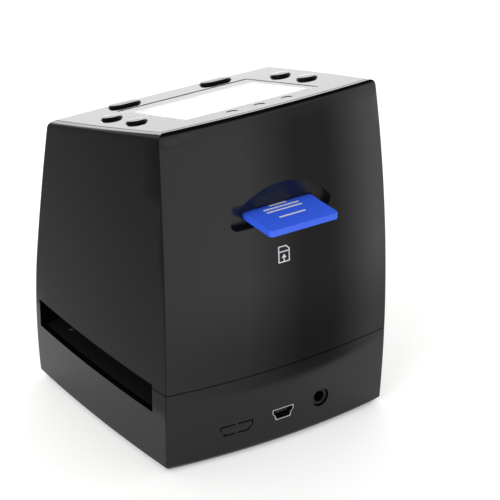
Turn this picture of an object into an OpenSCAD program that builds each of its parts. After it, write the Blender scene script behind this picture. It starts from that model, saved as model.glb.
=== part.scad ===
// Desktop scanner for film negatives and slides.
// Origin on the standing plane under the middle of the body, +Z up. The user sits at -Y and looks
// down at the sloped panel; the card slot and the ports are on the +Y side, and the film channel
// runs right through the body along X. All sizes are in millimetres.

/* [Body shell] */
// Half width of the body at the widest height of its side faces
body_half_w = 42.4; // [41.8:0.1:45]
// Distance from the origin to the furthest point of the back face
body_back = 41.2; // [40.8:0.1:43]
// Distance from the origin to the furthest point of the front face
body_front = 39.3; // [39:0.1:42]
// Height of the sloped top above the origin
top_h = 100.4; // [99:0.1:106]
// Slope of the top, rising to the back
top_tilt = 16.5; // [15:0.1:18]
// Wall thickness of both housings
wall = 2.2; // [1.9:0.1:2.4]
// Height of the seam between the two housings
seam_h = 27.5; // [26.5:0.1:28]
// Height of the shadow gap along the seam
seam_gap = 0.3; // [0.2:0.05:0.5]
// Depth of the shadow gap along the seam
seam_depth = 0.4; // [0.2:0.05:0.6]
// Bevel around the bottom edge
bottom_bevel = 1.5; // [0.8:0.1:1.8]
// Bevel around the top edge
top_bevel = 0.8; // [0.4:0.1:1.2]

/* [Body curvature] */
// Radius of the side faces seen from above
side_plan_r = 540; // [500:5:545]
// Radius of the side faces seen from the front
side_rise_r = 1100; // [1095:5:1300]
// Height at which the body is widest
side_apex_h = 32.3; // [28:0.1:36]
// Angle by which each side face opens towards the front
side_draft = 1.73; // [1.4:0.01:2]
// Radius of the back face seen from above
back_plan_r = 230; // [220:1:232]
// Radius of the back face seen from the side
back_rise_r = 466; // [465:1:520]
// Height at which the back face reaches furthest
back_apex_h = 30.8; // [28:0.1:34]
// Radius of the front face seen from above
front_plan_r = 573; // [500:1:700]
// Radius of the front face seen from the side, low down
front_rise_r = 160; // [150:1:180]
// Height at which the front face reaches furthest
front_apex_h = 20.8; // [18:0.1:24]
// Lean of the straight upper stretch of the front face
front_lean = 8.9; // [8:0.1:10]

/* [Film channel] */
// Height of the channel floor
channel_h0 = 18.9; // [18.4:0.1:19.5]
// Clear height of the channel
channel_h = 9.5; // [9.2:0.1:10]
// Back end of the channel
channel_back = 30.7; // [30:0.1:31]
// Width of the channel from front to back
channel_w = 65.4; // [64:0.1:65.6]
// Thickness of the film guides
guide_t = 1.6; // [1.4:0.1:2]
// Width of the guides' end ribs
guide_rib = 1.2; // [1:0.1:1.4]
// Length of the aperture in the film guides
gate_w = 38; // [36:0.5:40]
// Width of the aperture in the film guides
gate_d = 26; // [24:0.5:28]

/* [Panel] */
// Width of the housing's rim around the panel
rim = 2; // [1.9:0.1:2.4]
// Width of the ledge that carries the panel
ledge = 1.5; // [1.3:0.1:1.6]
// Thickness of that ledge
ledge_t = 1.8; // [1.4:0.1:2.2]
// Panel thickness
panel_t = 2; // [1.8:0.1:2.4]
// Distance of the window pane's ends from the widest line of the side faces
window_in = 19.1; // [18.4:0.1:19.4]
// Height of the window pane along the slope
window_d = 40.5; // [40:0.1:41]
// Distance of the window pane from the panel's cross line
window_v = 3.3; // [3:0.1:3.5]
// Thickness of the window pane
window_t = 1; // [0.8:0.1:1.2]
// Depth of the pane below the panel's face
window_sink = 0.3; // [0.1:0.05:0.4]
// Width of the dark border between the ends of the pane and the picture area
screen_in = 2; // [1.8:0.1:3]
// Height of the picture area
screen_d = 31.4; // [30:0.1:32]
// Distance of the picture area from the panel's cross line
screen_v = 6.1; // [5.8:0.1:6.4]
// Width of the display module's border around the picture
screen_edge = 2.8; // [2.4:0.1:3]
// Thickness of the display module
display_t = 2.6; // [2.2:0.1:3]

/* [Keys] */
// Radius of the round keys
key_r = 3.1; // [3:0.1:3.3]
// Distance between the centres of an oval key's ends
oval_run = 4.2; // [3:0.1:5]
// Height of the keys above the panel
key_rise = 1.6; // [1.2:0.1:2]
// Height of a key's straight side above the panel
key_side = 0.6; // [0.3:0.1:0.8]
// Travel of the keys
key_travel = 0.5; // [0.3:0.1:0.6]
// Distance of the round keys from the widest line of the side faces
round_key_in = 12.1; // [11.6:0.1:12.9]
// Place of the front round keys along the slope
round_key_front_v = -8; // [-8.4:0.1:-7.6]
// Place of the back round keys along the slope
round_key_back_v = 7; // [6:0.1:8]
// Distance of the oval keys from the middle
oval_key_x = 16.5; // [15:0.1:18]
// Distance of the oval keys from the top's front edge
oval_key_in = 7.1; // [7:0.1:7.8]
// Distance between the indicator lights
light_pitch = 9.6; // [8:0.1:10]
// Place of the indicator lights along the slope
light_v = 27.2; // [27:0.1:27.5]
// Radius of the indicator lights
light_r = 1.5; // [1.2:0.1:1.7]

/* [Card slot] */
// Width of the memory card
card_w = 24; // [23.5:0.1:24.5]
// Length of the memory card
card_l = 32; // [31:0.1:34]
// Thickness of the memory card
card_t = 2.1; // [1.4:0.1:2.2]
// Depth of the middle of the card below the top's height
card_depth = 21.6; // [21.4:0.1:21.8]
// Distance from the origin to the card's outer end
card_end = 50.6; // [49:0.1:52]
// Gap around the card in its slot
card_gap = 0.3; // [0.2:0.05:0.4]
// Radius of the thumb recess's arch
recess_r = 22.7; // [22:0.1:24]
// Depth of the arch's top below the top's height
recess_top_depth = 12.8; // [11.4:0.1:13.4]
// Depth of the thumb recess's floor below the top's height
recess_floor_depth = 24.7; // [24.4:0.1:25.2]
// Radius of the thumb recess's rounded ends
recess_end_r = 2.5; // [2:0.1:3]
// Distance from the origin to the recess's back wall
recess_wall = 36; // [35.6:0.1:36.2]
// Radius of the scoop above the card
scoop_r = 26; // [22:0.5:30]

/* [Ports] */
// Height of the top of the port board
port_board_top = 8.8; // [8.6:0.1:9]
// Distance of the sound and picture jack from the middle, to the left seen from the front
jack_x = 14.1; // [13:0.1:15]
// Height of the jack's axis
jack_h = 11.5; // [11.4:0.1:11.8]
// Radius of the jack's bore
jack_bore_r = 1.8; // [1.75:0.01:1.85]
// Radius of the jack's nose
jack_nose_r = 2.9; // [2.6:0.1:3]
// Depth of the jack's bore
jack_bore_l = 11; // [10:0.1:12]
// Width of the data socket
usb_w = 7.7; // [7.4:0.1:8]
// Height of the data socket
usb_h = 3.9; // [3.6:0.1:4]
// Thickness of the data socket's sheet
usb_sheet = 0.35; // [0.25:0.05:0.4]
// Distance of the blanked-off port from the middle
blank_x = 16.6; // [16:0.1:18]
// Width of the blanked-off port
blank_w = 11.4; // [10:0.1:12]
// Height of the blanked-off port
blank_h = 3.6; // [3.2:0.1:4]
// Width of the groove around the blank
blank_groove = 0.45; // [0.3:0.05:0.6]

/* [Camera] */
// Place of the optical axis from front to back
axis_y = -2; // [-3:0.1:-1]
// Radius of the lens barrel
barrel_r = 6; // [5:0.1:6.5]
// Length of the lens barrel
barrel_l = 11; // [9:0.5:12]
// Height of the light-tight hood above the upper film guide
hood_l = 20; // [16:0.5:22]
// Thickness of the hood's walls
hood_t = 1.5; // [1.2:0.1:1.8]
// Height of the lens holder on top of the hood
holder_l = 10; // [9:0.5:11]
// Side of the square sensor board
sensor_board_w = 30; // [26:0.5:32]

/* [Boards] */
// Thickness of the circuit boards
board_t = 1.4; // [1.2:0.1:1.6]
// Depth of the main board's face below the top's height
main_board_depth = 24.2; // [24:0.1:24.4]
// Distance of the main board's edges from the widest line of the side faces
main_board_in = 9.4; // [8.9:0.1:10.4]
// Front edge of the main board
main_board_front = -25; // [-25.5:0.1:-24]
// Back edge of the main board
main_board_back = 33.2; // [33:0.1:33.4]
// Distance of the chassis pillars from the widest line of the side faces
pillar_in = 12.9; // [12.4:0.1:13.4]
// Place of the front chassis pillars
pillar_front = -19; // [-20:0.1:-18]
// Place of the back chassis pillars
pillar_back = 24; // [22:0.1:25]
// Radius of the chassis pillars
pillar_r = 2.8; // [2.5:0.1:3]
// Distance of the key board's face below the panel's face
key_board_w = 7; // [6.8:0.1:7.4]

/* [Light box] */
// Length of the light box
light_box_w = 50; // [46:0.5:52]
// Width of the light box
light_box_d = 36; // [34:0.5:38]
// Thickness of the light box's walls
light_box_t = 1.6; // [1.4:0.1:2]
// Height of the bottom of the light box
light_box_h0 = 8.3; // [8:0.1:9]
// Thickness of the diffuser
diffuser_t = 1.2; // [1:0.1:1.5]
// Width of the diffuser's seat in the light box
diffuser_seat = 0.8; // [0.6:0.1:1]

/* [Feet and screws] */
// Radius of the feet
foot_r = 4; // [3.5:0.1:4.5]
// Height by which the feet lift the body
foot_lift = 0.5; // [0.3:0.1:0.8]
// Depth of the feet's seats
foot_seat = 0.6; // [0.4:0.1:0.9]
// Distance of the feet from the widest line of the side faces
foot_in = 11.4; // [10.4:0.1:13.4]
// Distance of the feet from the middle, front to back
foot_y = 27; // [26:0.1:28]
// Radius of the screws' shanks
screw_r = 1; // [0.9:0.05:1.1]
// Radius of the screws' heads
screw_head_r = 1.8; // [1.6:0.1:1.9]
// Height of the screws' heads
screw_head_t = 1.2; // [1:0.1:1.3]
// Gap around fitted pieces
fit = 0.1; // [0.05:0.01:0.15]
// Gap around pieces that move
run_gap = 0.2; // [0.15:0.01:0.25]

/* [Hidden] */

big = 130;
arc_fn = 256;
round_fn = 64;

screw_hole_r = screw_r + 0.05;
inner_floor = foot_lift + wall;
channel_top = channel_h0 + channel_h;
channel_front = channel_back - channel_w;
rib_gap = fit;
tray_bottom = channel_h0 - guide_t;
guide_top = channel_top + guide_t;
port_board_bottom = port_board_top - board_t;
main_board_top = top_h - main_board_depth;
main_board_bottom = main_board_top - board_t;
main_board_half_w = body_half_w - main_board_in;
pillar_x = body_half_w - pillar_in;
foot_x = body_half_w - foot_in;
ledge_w = panel_t + ledge_t;
hood_top = guide_top + hood_l;
holder_top = hood_top + holder_l;

// Where the sloped top meets the middle of the front and back faces, measured up the slope
front_tangent_h = front_apex_h + front_rise_r * sin(front_lean);
front_tangent_y = front_rise_r * (1 - cos(front_lean)) - body_front;
front_edge_h = (top_h + tan(top_tilt) * (front_tangent_y - front_tangent_h * tan(front_lean)))
    / (1 - tan(top_tilt) * tan(front_lean));
front_edge_v = (front_edge_h - top_h) / sin(top_tilt);
back_centre_y = body_back - back_rise_r;
back_along = -back_centre_y * cos(top_tilt) + (top_h - back_apex_h) * sin(top_tilt);
back_edge_v = sqrt(
    back_along ^ 2 + back_rise_r ^ 2 - back_centre_y ^ 2 - (top_h - back_apex_h) ^ 2
) - back_along;
side_drop_low = side_rise_r - sqrt(side_rise_r ^ 2 - (side_apex_h - foot_lift) ^ 2);
side_drop_top = side_rise_r - sqrt(side_rise_r ^ 2 - (top_h - side_apex_h) ^ 2);
back_drop_low = back_rise_r - sqrt(back_rise_r ^ 2 - (back_apex_h - foot_lift) ^ 2);
front_drop_low = front_rise_r - sqrt(front_rise_r ^ 2 - (front_apex_h - foot_lift) ^ 2);

// How far a side face lies from the middle plane at a place along Y and a height
function side_face(y, z) = body_half_w - side_rise_r + sqrt(side_rise_r ^ 2 - (z - side_apex_h) ^ 2)
    - side_plan_r + sqrt(side_plan_r ^ 2 - y ^ 2) - y * tan(side_draft);

// How far the back face lies from the origin's plane at a place across and a height
function back_face(x, z) = body_back - back_rise_r + sqrt(back_rise_r ^ 2 - (z - back_apex_h) ^ 2)
    - back_plan_r + sqrt(back_plan_r ^ 2 - x ^ 2);

// Display
window_w = 2 * (body_half_w - window_in);
screen_w = window_w - 2 * screen_in;

// Thumb recess
recess_top = top_h - recess_top_depth;
recess_floor = top_h - recess_floor_depth;
recess_back_t = 2.2;
recess_border = 2.4;

// Card
card_h = top_h - card_depth;
card_bottom = card_h - card_t / 2;
card_inner = card_end - card_l;
card_cut = 4;
card_corner_r = 1.2;
card_notch = 0.9;
contact_count = 9;
contact_pitch = 2.3;
contact_w = 1.6;
contact_l = 4.6;
contact_t = 0.15;
contact_sink = 0.35;
socket_side = 1.3;
socket_lid = 0.7;
socket_front = card_inner - card_gap - 2.6;
socket_back = recess_wall - recess_back_t - 0.3;
socket_top = card_h + card_t / 2 + card_gap + socket_lid;

// Keys
flange_w = 0.5;
flange_t = 0.7;
stem_r = 1.6;
stem_l = 0.5;
stem_end = panel_t + run_gap + flange_t + stem_l;
switch_side = 6;
switch_body_t = 1.9;
plunger_r = 1.7;
plunger_end = stem_end + key_travel + run_gap;
round_key_x = body_half_w - round_key_in;
round_keys = [
    [round_key_x, round_key_front_v], [round_key_x, round_key_back_v],
    [-round_key_x, round_key_front_v], [-round_key_x, round_key_back_v]
];
oval_key_v = front_edge_v + oval_key_in;
oval_keys = [[oval_key_x, oval_key_v], [-oval_key_x, oval_key_v]];

// Indicator lights
status_led_w = 1.6;
status_led_t = 0.9 - run_gap;
light_end = key_board_w - status_led_t - run_gap;
light_flange = 0.6;

// Key board and its posts on the panel
key_board_half_w = round_key_x + switch_side / 2 - 1;
key_board_front = oval_key_v - switch_side / 2 - 1.5;
key_board_back = light_v + 2;
key_board_end = key_board_w + board_t;
key_post_r = 2.1;
key_post_front_x = round_key_x - 2.9;
key_post_back_x = round_key_x - 1.5;
key_posts = [
    [key_post_front_x, -14], [key_post_back_x, 22], [-key_post_front_x, -14],
    [-key_post_back_x, 22]
];

// Base and guide fixings
base_post_x = body_half_w - 9.2;
base_post_y = 34.2;
base_post_r = 3;
base_head_h = channel_h0;
base_screw_l = 16;
tray_post_r = 2.6;
tray_post_x = body_half_w - 8.4;
tray_posts = [
    [tray_post_x, -28], [tray_post_x, 23], [-tray_post_x, -28], [-tray_post_x, 23]
];
guide_screw_l = 8;
guide_boss_r = 2.8;
guide_boss_l = 9;
guide_boss_sink = 0.6;
guide_bosses = [for (side = [1, -1], y = [-24, 20])
    [side * (side_face(y, guide_top) - wall - guide_boss_r + guide_boss_sink), y]];
pillars = [
    [pillar_x, pillar_front], [pillar_x, pillar_back], [-pillar_x, pillar_front],
    [-pillar_x, pillar_back]
];
board_screw_l = 6;
tongue_x = 18;
tongue_w = 6;
tongue_drop = 4;
tongue_root = 5;

// Ports
usb_y = back_face(0, port_board_top + usb_h / 2) - 0.1;
usb_mid_h = port_board_top + usb_h / 2;
usb_l = 9;
jack_face = back_face(jack_x, jack_h) - 0.9;
jack_body_front = back_face(jack_x, jack_h) - wall - 0.4;
jack_body_l = jack_bore_l;
jack_body_w = 6.4;
blank_mid_h = 10.2;
blank_depth = 0.8;
blank_bridge = 0.9;
port_board_half_w = main_board_half_w - 8;
port_board_front = 21;
port_board_back = back_face(port_board_half_w, port_board_top) - wall - 0.4;
port_post_x = port_board_half_w - 3;
port_posts = [[port_post_x, 25], [-port_post_x, 25]];
port_post_r = 2.4;

// Chips
chip_x = -2;
processor_w = 14;
memory_w = 9;
memory_d = 12;
chip_t = 1.2;
chip_gap = 3;
capacitor_r = 2.4;
capacitor_l = 4.6;

// Camera and light box
gate_lip = 3;
hood_top_w = 17;
hood_top_d = 15;
holder_w = 18;
holder_pocket_w = 13;
holder_pocket_l = 3;
barrel_below = 3;
barrel_t = 1.5;
sensor_w = 9;
sensor_t = 1.2;
light_rib_w = 2;
light_ribs_x = 20;
led_w = 3.5;
led_d = 2.8;
led_t = 1;
led_pitch_x = 14;
led_pitch_y = 12;

// Cables
flex_t = 0.3;
plug_t = 2;
display_flex_w = 15;
display_flex_y = -15;
port_flex_w = 10;
port_flex_x = port_board_half_w - 7;
port_plug_d = 3;
sensor_flex_w = 10;

// ---------------------------------------------------------------- shared shapes

// Children and their mirror image across the middle of the body
module both_sides() {
    children();
    mirror([1, 0, 0]) children();
}

// Places children in the panel's frame: X across, Y up the slope, Z out of the panel's face
module on_panel(x = 0, v = 0, w = 0) {
    translate([0, 0, top_h]) rotate([top_tilt, 0, 0]) translate([x, v, w]) children();
}

// Everything deeper than a given depth below the panel's face
module under_panel(depth = 0) {
    on_panel(w = -depth) translate([-big, -big, -2 * big]) cube([2 * big, 2 * big, 2 * big]);
}

module slab(z0, z1) {
    translate([-big, -big, z0]) cube([2 * big, 2 * big, z1 - z0]);
}

// A box given by its middle in X and Y, its size and its bottom height
module block(x, y, z, w, d, h) {
    translate([x - w / 2, y - d / 2, z]) cube([w, d, h]);
}

// A round post between two heights
module post(x, y, z0, z1, r) {
    translate([x, y, z0]) cylinder(r = r, h = z1 - z0, $fn = round_fn);
}

// A round bar along Y between two places
module bar_y(x, z, y0, y1, r) {
    translate([x, y0, z]) rotate([-90, 0, 0]) cylinder(r = r, h = y1 - y0, $fn = round_fn);
}

// Extrudes a front view, drawn in X and Z, along Y
module along_y(y0, y1) {
    translate([0, y1, 0]) rotate([90, 0, 0]) linear_extrude(y1 - y0) children();
}

// Extrudes a side view, drawn in Y and Z, along X, about the middle
module along_x(w) {
    translate([-w / 2, 0, 0]) rotate([90, 0, 90]) linear_extrude(w) children();
}

// ---------------------------------------------------------------- the body's form

// Each side face is part of a ring, whose two radii are the face's two curvatures
module side_ring(inset) {
    rotate([0, 0, side_draft])
        translate([body_half_w - side_rise_r, 0, side_apex_h])
            rotate([90, 0, 0])
                rotate_extrude($fn = arc_fn)
                    translate([side_rise_r - side_plan_r, 0])
                        circle(r = side_plan_r - inset, $fn = arc_fn);
}

module back_ring(inset) {
    translate([0, body_back - back_rise_r, back_apex_h])
        rotate([0, 90, 0])
            rotate_extrude($fn = arc_fn)
                translate([back_rise_r - back_plan_r, 0])
                    circle(r = back_plan_r - inset, $fn = arc_fn);
}

// Side view of the front face: an arc low down, and its tangent line above
module front_profile(inset) {
    tangent_h = front_apex_h + (front_rise_r - inset) * sin(front_lean);
    tangent_r = front_plan_r - front_rise_r + (front_rise_r - inset) * cos(front_lean);
    end_h = top_h + 20;
    end_r = tangent_r - (end_h - tangent_h) * tan(front_lean);
    core_r = front_plan_r - big;
    intersection() {
        translate([front_plan_r - front_rise_r, front_apex_h])
            circle(r = front_rise_r - inset, $fn = arc_fn);
        translate([core_r, -10]) square([2 * big, tangent_h + 10]);
    }
    polygon([[core_r, tangent_h], [tangent_r, tangent_h], [end_r, end_h], [core_r, end_h]]);
}

module front_ring(inset) {
    half_angle = 12;
    translate([0, front_plan_r - body_front, 0])
        rotate([0, 0, -90 - half_angle])
            rotate_extrude(angle = 2 * half_angle, $fn = arc_fn * 4)
                front_profile(inset);
}

// The body's outer form moved inwards, between two heights and under the sloped top
module form(inset, z0, z1, depth = 0) {
    intersection() {
        side_ring(inset);
        mirror([1, 0, 0]) side_ring(inset);
        back_ring(inset);
        front_ring(inset);
        slab(z0, z1);
        under_panel(depth);
    }
}

// A cone that bevels the bottom edge of a face with this plan radius
module bottom_cone(r) {
    translate([0, 0, foot_lift])
        cylinder(r1 = r - bottom_bevel, r2 = r - bottom_bevel + big, h = big, $fn = arc_fn);
}

// A cone that bevels the top edge of a face with this plan radius
module top_cone(r) {
    translate([0, 0, -big])
        cylinder(r1 = r - top_bevel + big, r2 = r - top_bevel, h = big, $fn = arc_fn);
}

module bottom_bevels() {
    intersection() {
        rotate([0, 0, side_draft])
            translate([body_half_w - side_drop_low - side_plan_r, 0]) bottom_cone(side_plan_r);
        rotate([0, 0, -side_draft])
            translate([side_plan_r + side_drop_low - body_half_w, 0]) bottom_cone(side_plan_r);
        translate([0, body_back - back_drop_low - back_plan_r]) bottom_cone(back_plan_r);
        translate([0, front_plan_r + front_drop_low - body_front]) bottom_cone(front_plan_r);
    }
}

module top_bevels() {
    turn = side_draft + asin((top_h - side_apex_h) / side_rise_r) * sin(top_tilt);
    front_r = front_plan_r * (cos(top_tilt) - tan(front_lean) * sin(top_tilt));
    on_panel() intersection() {
        rotate([0, 0, turn])
            translate([body_half_w - side_drop_top - side_plan_r, 0]) top_cone(side_plan_r);
        rotate([0, 0, -turn])
            translate([side_plan_r + side_drop_top - body_half_w, 0]) top_cone(side_plan_r);
        translate([0, back_edge_v - back_plan_r]) top_cone(back_plan_r);
        translate([0, front_edge_v + front_r]) top_cone(front_r);
    }
}

module channel_space() {
    translate([-big, channel_front, channel_h0]) cube([2 * big, channel_w, channel_h]);
}

// ---------------------------------------------------------------- housings

module base_posts(z0, z1, r) {
    both_sides() post(base_post_x, base_post_y, z0, z1, r);
}

module usb_outline(grow) {
    half_w = usb_w / 2 + grow;
    half_h = usb_h / 2 + grow;
    shoulder = usb_h * 0.12;
    foot_half_w = usb_w * 0.36 + grow;
    polygon([
        [-half_w, half_h], [-half_w, shoulder], [-foot_half_w - 0.3, -shoulder],
        [-foot_half_w, -half_h], [foot_half_w, -half_h], [foot_half_w + 0.3, -shoulder],
        [half_w, shoulder], [half_w, half_h]
    ]);
}

// Outline of the blanked-off port, with its lower corners cut
module blank_outline(grow) {
    half_w = blank_w / 2 + grow;
    half_h = blank_h / 2 + grow;
    slant = blank_h * 0.45;
    polygon([
        [-half_w, half_h], [-half_w, 0], [-half_w + slant, -half_h], [half_w - slant, -half_h],
        [half_w, 0], [half_w, half_h]
    ]);
}

// The groove around the blank, broken by two bridges, laid against the curved back face
module blank_groove_cut() {
    turn = asin(blank_x / back_plan_r);
    translate([0, body_back - back_plan_r, 0])
        rotate([0, 0, -turn])
            translate([0, back_face(0, blank_mid_h) - body_back + back_plan_r, blank_mid_h])
                along_y(-blank_depth, blank_depth) difference() {
                    blank_outline(0);
                    blank_outline(-blank_groove);
                    translate([-blank_bridge / 2, -blank_h]) square([blank_bridge, 2 * blank_h]);
                }
}

module port_cuts() {
    bar_y(-jack_x, jack_h, jack_body_front - 1, body_back + 1, jack_nose_r + run_gap);
    translate([0, 0, usb_mid_h]) along_y(jack_body_front - 1, body_back + 1) usb_outline(fit);
    blank_groove_cut();
}

module lower_shell() {
    difference() {
        union() {
            intersection() {
                form(0, foot_lift, seam_h - seam_gap);
                bottom_bevels();
            }
            form(seam_depth, seam_h - seam_gap, seam_h);
        }
        form(wall, inner_floor, seam_h + 1);
    }
}

module lower_inner_parts() {
    base_posts(inner_floor, seam_h, base_post_r);
    for (p = tray_posts) post(p.x, p.y, inner_floor, tray_bottom, tray_post_r);
    for (p = port_posts) post(p.x, p.y, inner_floor, port_board_bottom, port_post_r);
    both_sides() block(
        light_ribs_x, axis_y, inner_floor, light_rib_w, light_box_d - 6,
        light_box_h0 - board_t - inner_floor
    );
}

module lower_housing() {
    color("#1d1d1f") difference() {
        union() {
            lower_shell();
            intersection() {
                lower_inner_parts();
                form(wall / 2, inner_floor, seam_h);
            }
        }
        channel_space();
        port_cuts();
        base_posts(foot_lift - 1, base_head_h, screw_head_r + fit);
        base_posts(base_head_h - 1, seam_h + 1, screw_hole_r);
        for (p = tray_posts) post(p.x, p.y, tray_bottom - guide_screw_l, seam_h, screw_hole_r);
        for (p = port_posts) post(p.x, p.y, inner_floor + 0.2, port_board_top, screw_hole_r);
        for (x = [-foot_x, foot_x], y = [-foot_y, foot_y])
            post(x, y, foot_lift - 1, foot_lift + foot_seat, foot_r + fit);
    }
}

// Front view of the thumb recess: a low arch on a flat floor, which meet in rounded ends
module recess_outline(grow) {
    arch_h = recess_top - recess_r;
    end_h = recess_floor + recess_end_r;
    end_x = sqrt((recess_r - recess_end_r) ^ 2 - (end_h - arch_h) ^ 2);
    ray_h = arch_h + 3 * (end_h - arch_h);
    intersection() {
        translate([0, arch_h]) circle(r = recess_r + grow, $fn = arc_fn);
        polygon([
            [-end_x, recess_floor - grow], [end_x, recess_floor - grow], [end_x, end_h],
            [3 * end_x, ray_h], [-3 * end_x, ray_h], [-end_x, end_h]
        ]);
    }
    for (x = [-end_x, end_x]) translate([x, end_h])
        circle(r = recess_end_r + grow, $fn = round_fn);
}

// The scoop's back wall is upright at the card and sweeps outwards above it
module recess_cut() {
    scoop_h = card_h + card_t;
    intersection() {
        along_y(recess_wall - 1, body_back + 1) recess_outline(0);
        along_x(2 * recess_r) union() {
            translate([recess_wall, recess_floor - 1])
                square([scoop_r, scoop_h - recess_floor + 1]);
            intersection() {
                translate([recess_wall + scoop_r, scoop_h]) circle(r = scoop_r, $fn = arc_fn);
                translate([recess_wall, scoop_h]) square([scoop_r, scoop_r]);
            }
        }
    }
}

module recess_backing() {
    intersection() {
        along_y(recess_wall - recess_back_t, body_back) recess_outline(recess_border);
        form(wall / 2, recess_floor - 5, recess_top + 5);
    }
}

module card_slot_cut() {
    block(
        0, recess_wall, card_bottom - card_gap, card_w + 2 * card_gap, 3 * recess_back_t,
        card_t + 2 * card_gap
    );
}

module tongues() {
    both_sides() intersection() {
        union() {
            form(wall + fit, seam_h - tongue_drop, seam_h);
            form(wall / 2, seam_h, seam_h + tongue_root);
        }
        translate([tongue_x - tongue_w / 2, -big, 0])
            cube([tongue_w, big + channel_front - guide_rib - rib_gap, big]);
    }
}

module upper_inner_parts() {
    base_posts(seam_h, seam_h + base_screw_l - 5, base_post_r);
    for (p = guide_bosses) post(p.x, p.y, guide_top, guide_top + guide_boss_l, guide_boss_r);
}

module upper_housing() {
    color("#161618") difference() {
        union() {
            difference() {
                intersection() {
                    form(0, seam_h, big);
                    top_bevels();
                }
                form(wall, seam_h - 1, big, ledge_w);
                form(rim + ledge, seam_h + 30, big, -1);
                difference() {
                    form(rim, seam_h + 30, big, -1);
                    under_panel(panel_t);
                }
            }
            intersection() {
                upper_inner_parts();
                form(wall / 2, seam_h, seam_h + 30);
            }
            recess_backing();
            tongues();
        }
        channel_space();
        recess_cut();
        card_slot_cut();
        base_posts(seam_h - 1, seam_h + base_screw_l - 6, screw_hole_r);
        for (p = guide_bosses)
            post(p.x, p.y, guide_top - 1, guide_top + guide_boss_l - 1, screw_hole_r);
    }
}

// ---------------------------------------------------------------- panel and display

module round_hole(p, r, t) {
    on_panel(p.x, p.y, -t - 1) cylinder(r = r, h = t + 2, $fn = round_fn);
}

module oval_outline(r) {
    for (x = [-oval_run / 2, oval_run / 2]) translate([x, 0]) circle(r = r, $fn = round_fn);
    translate([-oval_run / 2, -r]) square([oval_run, 2 * r]);
}

module panel_box(v, w0, w1, wide, deep) {
    on_panel(0, v, w0) translate([-wide / 2, -deep / 2, 0]) cube([wide, deep, w1 - w0]);
}

module top_panel() {
    color("#0c0c0e") difference() {
        union() {
            difference() {
                form(rim + fit, seam_h + 30, big);
                under_panel(panel_t);
            }
            for (p = key_posts)
                on_panel(p.x, p.y, -key_board_w)
                    cylinder(r = key_post_r, h = key_board_w - panel_t, $fn = round_fn);
        }
        panel_box(window_v, -window_sink - window_t, 1, window_w, window_d);
        panel_box(screen_v, -panel_t - 1, 1, screen_w + 1, screen_d + 1);
        for (p = round_keys) round_hole(p, key_r + run_gap, panel_t);
        for (p = oval_keys)
            on_panel(p.x, p.y, -panel_t - 1) linear_extrude(panel_t + 2)
                oval_outline(key_r + run_gap);
        for (x = [-light_pitch, 0, light_pitch]) round_hole([x, light_v], light_r + fit, panel_t);
        for (p = key_posts)
            on_panel(p.x, p.y, -key_board_w - 1)
                cylinder(r = screw_hole_r, h = key_board_w, $fn = round_fn);
    }
}

module display_window() {
    color([0.2, 0.22, 0.24, 0.5])
        panel_box(
            window_v, -window_sink - window_t, -window_sink, window_w - 2 * fit,
            window_d - 2 * fit
        );
}

display_w = screen_w + 2 * screen_edge;
display_d = screen_d + 2 * screen_edge;
display_end = panel_t + display_t;

module display_module() {
    color("#e8eef2") difference() {
        panel_box(screen_v, -display_end, -panel_t, display_w, display_d);
        panel_box(screen_v, -panel_t - 0.2, 1, screen_w, screen_d);
    }
}

module display_frame() {
    frame_t = 2;
    bar_w = 3;
    color("#2a2a2c") {
        difference() {
            panel_box(screen_v, -key_board_w, -display_end, display_w, display_d);
            panel_box(
                screen_v, -key_board_w - 1, -display_end + 1, display_w - 2 * frame_t,
                display_d - 2 * frame_t
            );
        }
        panel_box(screen_v, -key_board_w, -display_end, bar_w, display_d - frame_t);
    }
}

module key_board() {
    color("#1f5a36") difference() {
        on_panel(0, 0, -key_board_end)
            translate([-key_board_half_w, key_board_front, 0])
                cube([2 * key_board_half_w, key_board_back - key_board_front, board_t]);
        for (p = key_posts) round_hole(p, screw_hole_r, key_board_end);
    }
}

module key_switches() {
    color("#c9cdd1") for (p = concat(round_keys, oval_keys)) on_panel(p.x, p.y, -key_board_w) {
        translate([-switch_side / 2, -switch_side / 2, 0])
            cube([switch_side, switch_side, switch_body_t]);
        cylinder(r = plunger_r, h = key_board_w - plunger_end, $fn = round_fn);
    }
}

// ---------------------------------------------------------------- keys and lights

// Radius of the ball whose cap domes a key
dome_rise = key_rise - key_side;
dome_r = (key_r ^ 2 + dome_rise ^ 2) / (2 * dome_rise);

module round_key(p) {
    color("#101012") on_panel(p.x, p.y) {
        intersection() {
            translate([0, 0, -panel_t - run_gap]) cylinder(r = key_r, h = big, $fn = round_fn);
            translate([0, 0, key_rise - dome_r]) sphere(r = dome_r, $fn = 2 * round_fn);
        }
        translate([0, 0, -panel_t - run_gap - flange_t])
            cylinder(r = key_r + flange_w, h = flange_t, $fn = round_fn);
        translate([0, 0, -stem_end]) cylinder(r = stem_r, h = stem_l + flange_t / 2, $fn = round_fn);
    }
}

module oval_key(p) {
    color("#101012") on_panel(p.x, p.y) {
        intersection() {
            translate([0, 0, -panel_t - run_gap]) linear_extrude(big) oval_outline(key_r);
            translate([0, 0, key_rise - dome_r]) {
                for (x = [-oval_run / 2, oval_run / 2])
                    translate([x, 0, 0]) sphere(r = dome_r, $fn = 2 * round_fn);
                translate([-oval_run / 2, 0, 0]) rotate([0, 90, 0])
                    cylinder(r = dome_r, h = oval_run, $fn = 2 * round_fn);
            }
        }
        translate([0, 0, -panel_t - run_gap - flange_t])
            linear_extrude(flange_t) oval_outline(key_r + flange_w);
        translate([0, 0, -stem_end]) cylinder(r = stem_r, h = stem_l + flange_t / 2, $fn = round_fn);
    }
}

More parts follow.
